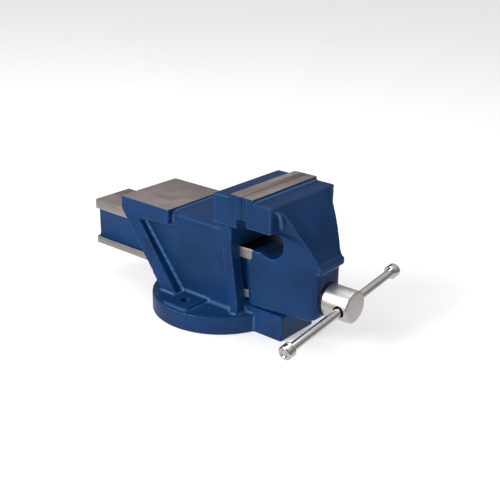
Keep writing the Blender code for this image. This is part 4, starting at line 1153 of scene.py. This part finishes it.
def coil_tree():
    """A strip or wire wound round the X axis: a thread's ridge or a spring."""
    tree, given, output = new_tree("Coil round an axis", [
        ("Radius", "NodeSocketFloat", 0.01), ("Length", "NodeSocketFloat", 0.1),
        ("Turns", "NodeSocketFloat", 10.0), ("Foot", "NodeSocketFloat", 0.003),
        ("Crest", "NodeSocketFloat", 0.002), ("Depth", "NodeSocketFloat", 0.003),
        ("Start", "NodeSocketVector", None), ("Steel", "NodeSocketMaterial", None)])
    spiral = add_node(tree, "GeometryNodeCurveSpiral", {
        "Resolution": 40, "Rotations": given["Turns"], "Start Radius": given["Radius"],
        "End Radius": given["Radius"], "Height": given["Length"]})
    level = add_node(tree, "GeometryNodeSetCurveNormal", {"Curve": spiral.outputs["Curve"]}, mode="Z_UP")
    section = add_node(tree, "GeometryNodeCurvePrimitiveQuadrilateral", {
        "Bottom Width": given["Crest"], "Top Width": given["Foot"], "Height": given["Depth"],
        "Offset": 0.0}, mode="TRAPEZOID")
    turned = add_node(tree, "GeometryNodeTransform", {
        "Geometry": section.outputs["Curve"], "Rotation": (0.0, 0.0, math.pi / 2)})
    strip = add_node(tree, "GeometryNodeCurveToMesh", {
        "Curve": level.outputs["Curve"], "Profile Curve": turned.outputs["Geometry"], "Fill Caps": True})
    laid = add_node(tree, "GeometryNodeTransform", {
        "Geometry": strip.outputs["Mesh"], "Rotation": (0.0, math.pi / 2, 0.0),
        "Translation": given["Start"]})
    close_tree(tree, laid.outputs["Geometry"], given["Steel"], output)
    return tree


def screw_row_tree():
    """Copies of one screw in a row along Y."""
    tree, given, output = new_tree("Row of screws", [
        ("Screw", "NodeSocketObject", None), ("Spacing", "NodeSocketFloat", 0.07),
        ("Middle", "NodeSocketVector", None), ("Steel", "NodeSocketMaterial", None)])
    half = math_node(tree, "MULTIPLY", given["Spacing"], -0.5)
    start = add_node(tree, "ShaderNodeCombineXYZ", {"Y": half}).outputs["Vector"]
    step = add_node(tree, "ShaderNodeCombineXYZ", {"Y": given["Spacing"]}).outputs["Vector"]
    line = add_node(tree, "GeometryNodeMeshLine", {"Count": 2, "Start Location": start, "Offset": step})
    screw = add_node(tree, "GeometryNodeObjectInfo", {"Object": given["Screw"]})
    copies = add_node(tree, "GeometryNodeInstanceOnPoints", {
        "Points": line.outputs["Mesh"], "Instance": screw.outputs["Geometry"]})
    moved = add_node(tree, "GeometryNodeTransform", {
        "Geometry": copies.outputs["Instances"], "Translation": given["Middle"]})
    close_tree(tree, moved.outputs["Geometry"], given["Steel"], output)
    return tree


# ---- jaw plates and their screws -------------------------------------------------------------
def join_pieces(name, *objs):
    """Put the meshes of several objects into the first one."""
    bm = bmesh.new()
    finishes = list(objs[0].data.materials)
    for obj in objs:
        bm.from_mesh(obj.data)
    whole = bpy.data.meshes.new(name)
    bm.to_mesh(whole)
    bm.free()
    for finish in finishes:
        whole.materials.append(finish)
    keeper = objs[0]
    keeper.data = whole
    keeper.name = name
    for obj in objs[1:]:
        bpy.data.objects.remove(obj)
    return keeper


def build_plate(name, node, direction, shape):
    """A jaw plate with ground top, enamelled ends and a toothed face darkened by painted shade; direction
    points into its jaw.
    """
    low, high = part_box(node)
    front = low.x if direction > 0 else high.x
    back = high.x if direction > 0 else low.x
    root = front + direction * shape.tooth_height
    middle_z = (low.z + high.z) / 2
    bm = bmesh.new()
    add_block(bm, sorted((root, back + direction * PLATE_SINK)), (low.y, high.y), (low.z, high.z))
    for face in bm.faces:
        middle = face.calc_center_median()
        if abs(middle.y) > JAW_HALF * PLATE_END:
            face.material_index = 1
        elif abs(middle.x - root) < shape.tooth_height / 2:
            # Painted shade: the toothed face takes the dark iron colour so the seam between the closed
            # plates reads dark.
            face.material_index = 2
    plate = make_object(name, bm, hardened_steel(), enamel(), grey_iron())
    for side in (-1, 1):
        place = Matrix.Translation((front, side * shape.screw_spacing / 2, middle_z))
        carve_lathe(plate, [(direction * x, radius) for x, radius in COUNTERSINK], place)
    bevel(plate, PLATE_EDGE)
    teeth = grow("teeth", teeth_tree(), width=high.y - low.y - TEETH_END_MARGIN,
                 height=high.z - low.z - TEETH_SIDE_MARGIN, pitch=shape.tooth_pitch,
                 tooth=shape.tooth_height, screw_spacing=shape.screw_spacing, screw_gap=SCREW_CLEARING,
                 steel=hardened_steel())
    # Painted shade: the teeth take the dark iron colour too.
    for face in teeth.data.polygons:
        face.material_index = 2
    turn = Matrix.Rotation(-direction * math.pi / 2, 4, "Y")
    teeth.data.transform(Matrix.Translation((root, 0.0, middle_z)) @ turn)
    whole = join_pieces(name, plate, teeth)
    return mark_edges(shade(whole, 25.0), 0.0)


class VISE_OT_jaw_plates(bpy.types.Operator):
    """Build both toothed jaw plates"""

    bl_idname = "vise.jaw_plates"
    bl_label = "Jaw plates"

    def execute(self, context):
        shape = context.scene.vise_shape
        rear = build_plate("rear_plate", "fixed_jaw_plate", -1, shape)
        seat(rear, "fixed_body", "ground_steel", "fixed_jaw_plate")
        front = build_plate("front_plate", "moving_jaw_plate", 1, shape)
        seat(front, "sliding_jaw", "ground_steel", "moving_jaw_plate")
        return {"FINISHED"}


def make_screw(direction):
    """A countersunk screw with a hexagon socket, its head at the origin and its shank along X."""
    steps = 48
    sector = math.pi / 3

    def ring(x, radius, hexagon):
        points = []
        for i in range(steps):
            angle = 2 * math.pi * i / steps
            reach = radius
            if hexagon:
                reach *= math.cos(sector / 2) / math.cos((angle + sector / 2) % sector - sector / 2)
            points.append((direction * x, reach * math.cos(angle), reach * math.sin(angle)))
        return points

    bm = bmesh.new()
    add_rings(bm, [ring(*point, True) for point in SCREW_SOCKET]
              + [ring(*point, False) for point in SCREW_PROFILE])
    return shade(make_object("plate_screw", bm, black_oxide_and_bore_shade()), 28.0)


class VISE_OT_plate_screws(bpy.types.Operator):
    """Build the screws of both jaw plates"""

    bl_idname = "vise.plate_screws"
    bl_label = "Plate screws"

    def execute(self, context):
        shape = context.scene.vise_shape
        low, high = PLATE_SCREWS[0]
        rows = (("fixed", "fixed_body", -1, REAR_PLATE[1].x),
                ("moving", "sliding_jaw", 1, FRONT_PLATE[0].x))
        tree = screw_row_tree()
        for owner, body, direction, face in rows:
            screw = make_screw(direction)
            middle = Vector((face + direction * SCREW_SINK, 0.0, (low.z + high.z) / 2))
            row = grow(f"{owner}_jaw_screws", tree, screw=screw, spacing=shape.screw_spacing, middle=middle,
                       steel=black_oxide_and_bore_shade())
            bpy.data.objects.remove(screw)
            nodes = [f"{owner}_plate_screw_{side}" for side in ("near", "far")]
            seat(shade(row, 28.0), body, "black_steel", *nodes)
        return {"FINISHED"}


# ---- spindle ---------------------------------------------------------------------------------
def cross_place():
    """The place of a solid turned about X that lies along the handle instead."""
    return (Matrix.Translation((HANDLE_X, 0.0, SPINDLE_Z)) @ Matrix.Rotation(HANDLE_TILT, 4, "X")
            @ Matrix.Rotation(math.pi / 2, 4, "Z"))


class VISE_OT_spindle(bpy.types.Operator):
    """Build the spindle: its thread, journal and head"""

    bl_idname = "vise.spindle"
    bl_label = "Spindle"

    def execute(self, context):
        shape = context.scene.vise_shape
        rear = SCREW_LOW.x
        pitch = shape.thread_pitch
        turns = int((JOURNAL_X - rear) / pitch) - 1
        depth = THREAD_RADIUS - THREAD_CORE
        start = Vector((rear + THREAD_RUN_IN * pitch, 0.0, SPINDLE_Z))
        ridge = grow("spindle_thread", coil_tree(), radius=THREAD_CORE + depth / 2 - THREAD_SINK,
                     length=turns * pitch, turns=float(turns), foot=THREAD_FOOT, crest=THREAD_CREST,
                     depth=depth + 2 * THREAD_SINK, start=start, steel=turned_steel())
        core = make_turned("core", [
            (rear, THREAD_CORE - END_CHAMFER), (rear + END_CHAMFER, THREAD_CORE),
            (JOURNAL_X, THREAD_CORE)], 64, SPINDLE_PLACE, turned_steel())
        thread = shade(join_pieces("spindle_thread", ridge, core), 28.0)
        seat(thread, "spindle", "bright_steel")

        head_rear = RING_HIGH.x + FIT_GAP
        rear_edge, front_edge = HEAD_EDGES
        profile = [(JOURNAL_X, THREAD_CORE), (JOURNAL_X, THREAD_RADIUS - THREAD_CHAMFER),
                   (JOURNAL_X + THREAD_CHAMFER, THREAD_RADIUS), (head_rear, THREAD_RADIUS)]
        profile += round_corner(head_rear, HEAD_RADIUS, rear_edge, 1, 5)
        profile += round_corner(SCREW_HIGH.x, HEAD_RADIUS, front_edge, -1, 8)
        profile.append((SCREW_HIGH.x, HEAD_RADIUS * CENTRE_MARK))
        head = make_turned("spindle_head", profile, 128, SPINDLE_PLACE, turned_steel(), black_oxide_and_bore_shade())
        hole = HANDLE_RADIUS + CROSS_HOLE_PLAY
        mouth = HEAD_RADIUS - MOUTH_SINK
        half = [(mouth - MOUTH_DEPTH, hole), (mouth, CROSS_HOLE_MOUTH), (2 * HEAD_RADIUS, CROSS_HOLE_MOUTH)]
        # Painted shade: the cross hole's mouth and bore take the dark black-oxide colour.
        carve_lathe(head, [(-x, radius) for x, radius in reversed(half)] + half, cross_place(), 1)
        seat(shade(head, 24.0), "spindle", "bright_steel", "lead_screw")
        return {"FINISHED"}


class VISE_OT_spindle_fittings(bpy.types.Operator):
    """Build the spindle's washers, collar and spring, and finish its nut and pin"""

    bl_idname = "vise.spindle_fittings"
    bl_label = "Spindle fittings"

    def execute(self, context):
        shape = context.scene.vise_shape
        inner = THREAD_RADIUS + FIT_GAP
        for node, finish, slot in (("thrust_washer", black_oxide_and_bore_shade(), "black_steel"),
                                   ("spring_washer", grey_iron(), "grey_iron"),
                                   ("retaining_collar", grey_iron(), "grey_iron")):
            low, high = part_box(node)
            body = frame["nodes"][node]["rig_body"]
            outer = (high.z - low.z) / 2
            size = min(RING_EDGE, (high.x - low.x) / 4)
            ring = make_turned(f"{node}_turned", [
                (low.x, outer - size), (low.x + size, outer), (high.x - size, outer),
                (high.x, outer - size)], 96, SPINDLE_PLACE, finish)
            carve_lathe(ring, [(low.x - SUNK, inner), (high.x + SUNK, inner)], SPINDLE_PLACE)
            seat(shade(ring), body, slot, node)
        low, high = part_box("spindle_spring")
        wire = shape.wire_radius
        width = WIRE_SIDE * wire
        spring = grow("coil_spring", coil_tree(), radius=(high.y - low.y) / 2 - wire,
                      length=high.x - low.x - 2 * wire, turns=float(shape.spring_turns), foot=width,
                      crest=width, depth=width, start=Vector((low.x + wire, 0.0, SPINDLE_Z)),
                      steel=spring_steel())
        body = frame["nodes"]["spindle_spring"]["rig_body"]
        seat(shade(spring, 50.0), body, "spring_steel", "spindle_spring")
        for node, finish in (("spindle_nut", grey_iron()), ("collar_pin", hardened_steel()),
                             ("nut_washer", black_oxide_and_bore_shade()), ("nut_bolt", black_oxide_and_bore_shade())):
            for slot in frame["nodes"][node].material_slots:
                slot.material = finish
        return {"FINISHED"}


# ---- handle ----------------------------------------------------------------------------------
def handle_place():
    """The place of a solid turned about X, measured from the handle's middle."""
    return cross_place() @ Matrix.Translation((HANDLE_OFFSET, 0.0, 0.0))


class VISE_OT_handle(bpy.types.Operator):
    """Build the sliding handle and its two knobs"""

    bl_idname = "vise.handle"
    bl_label = "Handle"

    def execute(self, context):
        end = HANDLE_LENGTH / 2
        shoulder = end - KNOB_LENGTH - FIT_GAP
        profile = [(back - end, SPIGOT_RADIUS - fall) for back, fall in SPIGOT_END]
        profile += [(-shoulder, SPIGOT_RADIUS), (-shoulder, HANDLE_RADIUS - SHOULDER_CHAMFER),
                    (SHOULDER_CHAMFER - shoulder, HANDLE_RADIUS)]
        profile += [(-x, radius) for x, radius in reversed(profile)]
        bar = shade(make_turned("handle_rod", profile, 64, handle_place(), handle_steel()))
        seat(bar, "handle", "bright_steel", "handle_bar")
        inner = end - KNOB_LENGTH
        bore = SPIGOT_RADIUS + FIT_GAP
        profile = [(inner + x, KNOB_RADIUS + rise) for x, rise in KNOB_BACK]
        profile += round_corner(end, KNOB_RADIUS, KNOB_EDGE, -1, 8)
        profile += [(end + x, SPIGOT_RADIUS + rise) for x, rise in KNOB_FACE]
        for side, name in ((-1, "near"), (1, "far")):
            turned = [(side * x, radius) for x, radius in profile]
            knob = make_turned(f"knob_{name}", turned, 96, handle_place(), handle_steel())
            carve_lathe(knob, [(side * (inner - SUNK), bore), (side * (end + SUNK), bore)], handle_place())
            seat(shade(knob, 24.0), "handle", "bright_steel", f"handle_knob_{name}")
        return {"FINISHED"}


# ---- stage -----------------------------------------------------------------------------------
def camera_axes(stage):
    """The camera's right, up and backward directions."""
    azimuth, elevation, roll = stage.azimuth, stage.elevation, stage.roll
    back = Vector((math.sin(azimuth) * math.cos(elevation), -math.cos(azimuth) * math.cos(elevation),
                   math.sin(elevation)))
    right = Vector((0.0, 0.0, 1.0)).cross(back).normalized()
    up = back.cross(right)
    rolled = right * math.cos(roll) + up * math.sin(roll)
    return rolled, back.cross(rolled), back


def add_camera(stage):
    """The camera."""
    data = bpy.data.cameras.new("stage_camera")
    data.lens = stage.lens
    data.sensor_width = SENSOR_WIDTH
    data.clip_start = 0.05
    camera = bpy.data.objects.new("stage_camera", data)
    bpy.context.scene.collection.objects.link(camera)
    right, up, back = camera_axes(stage)
    turn = Matrix((right, up, back)).transposed().to_4x4()
    camera.matrix_world = Matrix.Translation(Vector(stage.target) + back * stage.distance) @ turn
    bpy.context.scene.camera = camera


def add_light(name, place, aim, size, power):
    """A square soft light that faces a point."""
    data = bpy.data.lights.new(name, "AREA")
    data.shape = "SQUARE"
    data.size = size
    data.energy = power
    light = bpy.data.objects.new(name, data)
    bpy.context.scene.collection.objects.link(light)
    direction = Vector(place) - Vector(aim)
    light.matrix_world = Matrix.Translation(place) @ direction.to_track_quat("Z", "Y").to_matrix().to_4x4()


def light_surround(tree, background, stage):
    """A bright room above and below with a darker band at eye level."""
    direction = add_node(tree, "ShaderNodeTexCoord").outputs["Generated"]
    height = add_node(tree, "ShaderNodeSeparateXYZ", {"Vector": direction}).outputs["Z"]
    above = remap(tree, height, 0.25, 0.75, stage.band, stage.sky)
    below = remap(tree, height, -0.45, -0.15, stage.fill, 0.0)
    tree.links.new(math_node(tree, "MAXIMUM", above, below), background.inputs["Strength"])


def add_floor(stage):
    """A plain pale floor that rises at its far rim; mirrors don't show it."""
    outside = STAGE_RADIUS + 1.0
    profile = [(-STAGE_DEPTH, outside), (STAGE_RIM, outside)]
    profile += [(FLOOR_Z + STAGE_RIM - z, radius) for radius, z in
                arc((STAGE_RADIUS - STAGE_RIM, 0.0), STAGE_RIM, 0, 90, 12)]
    material, tree, shader = new_finish(
        "floor_paint", metallic=0.0, roughness=0.8, emission_color=(1.0, 1.0, 1.0, 1.0),
        emission_strength=stage.floor_glow, specular_ior_level=0.2)
    mottle = noise(tree, place_pattern(tree), 3.0, 3.0)
    wear(tree, shader, base_color=mix_colour(
        tree, mottle, shaded(stage.floor_colour, 0.995), shaded(stage.floor_colour, 1.0)))
    floor = make_turned("floor", profile, 120, upright(), material)
    floor.visible_glossy = False


class VISE_OT_stage(bpy.types.Operator):
    """Set the floor, the lights and the camera"""

    bl_idname = "vise.stage"
    bl_label = "Stage"

    def execute(self, context):
        stage = context.scene.vise_stage
        add_floor(stage)
        world = bpy.data.worlds.new("surround")
        world.use_nodes = True
        background = world.node_tree.nodes["Background"]
        background.inputs["Color"].default_value = (1.0, 1.0, 1.0, 1.0)
        light_surround(world.node_tree, background, stage)
        context.scene.world = world
        for name, (place, size), power in (("key_light", KEY_LIGHT, stage.key_power),
                                           ("top_light", TOP_LIGHT, stage.top_power)):
            add_light(name, place, LIGHT_AIM, size, power)
        context.scene.view_settings.view_transform = "Standard"
        add_camera(stage)
        return {"FINISHED"}


# ---- panel and registration ------------------------------------------------------------------
OPERATORS = (
    VISE_OT_fixed_casting,
    VISE_OT_sliding_casting,
    VISE_OT_slide,
    VISE_OT_jaw_plates,
    VISE_OT_plate_screws,
    VISE_OT_spindle,
    VISE_OT_spindle_fittings,
    VISE_OT_handle,
    VISE_OT_stage,
)
GROUPS = {"vise_paint": VisePaint, "vise_metal": ViseMetal, "vise_shape": ViseShape, "vise_stage": ViseStage}


class VISE_PT_finish(bpy.types.Panel):
    """Lists the vise's pieces and what may be changed on them"""

    bl_label = "Bench vise"
    bl_idname = "VISE_PT_finish"
    bl_space_type = "VIEW_3D"
    bl_region_type = "UI"
    bl_category = "Vise"

    def draw(self, context):
        column = self.layout.column(align=True)
        for operator in OPERATORS:
            column.operator(operator.bl_idname)
        for group in GROUPS:
            settings = getattr(context.scene, group)
            box = self.layout.box()
            for key in settings.__annotations__:
                box.prop(settings, key)


def register():
    for group in GROUPS.values():
        bpy.utils.register_class(group)
    for operator in (*OPERATORS, VISE_PT_finish):
        bpy.utils.register_class(operator)
    for name, group in GROUPS.items():
        setattr(bpy.types.Scene, name, PointerProperty(type=group))


def unregister():
    for name in GROUPS:
        delattr(bpy.types.Scene, name)
    for operator in reversed((*OPERATORS, VISE_PT_finish)):
        bpy.utils.unregister_class(operator)
    for group in reversed(list(GROUPS.values())):
        bpy.utils.unregister_class(group)


def main():
    """Build every piece in order."""
    register()
    for operator in OPERATORS:
        area, name = operator.bl_idname.split(".")
        getattr(getattr(bpy.ops, area), name)()


if __name__ == "__main__":
    main()
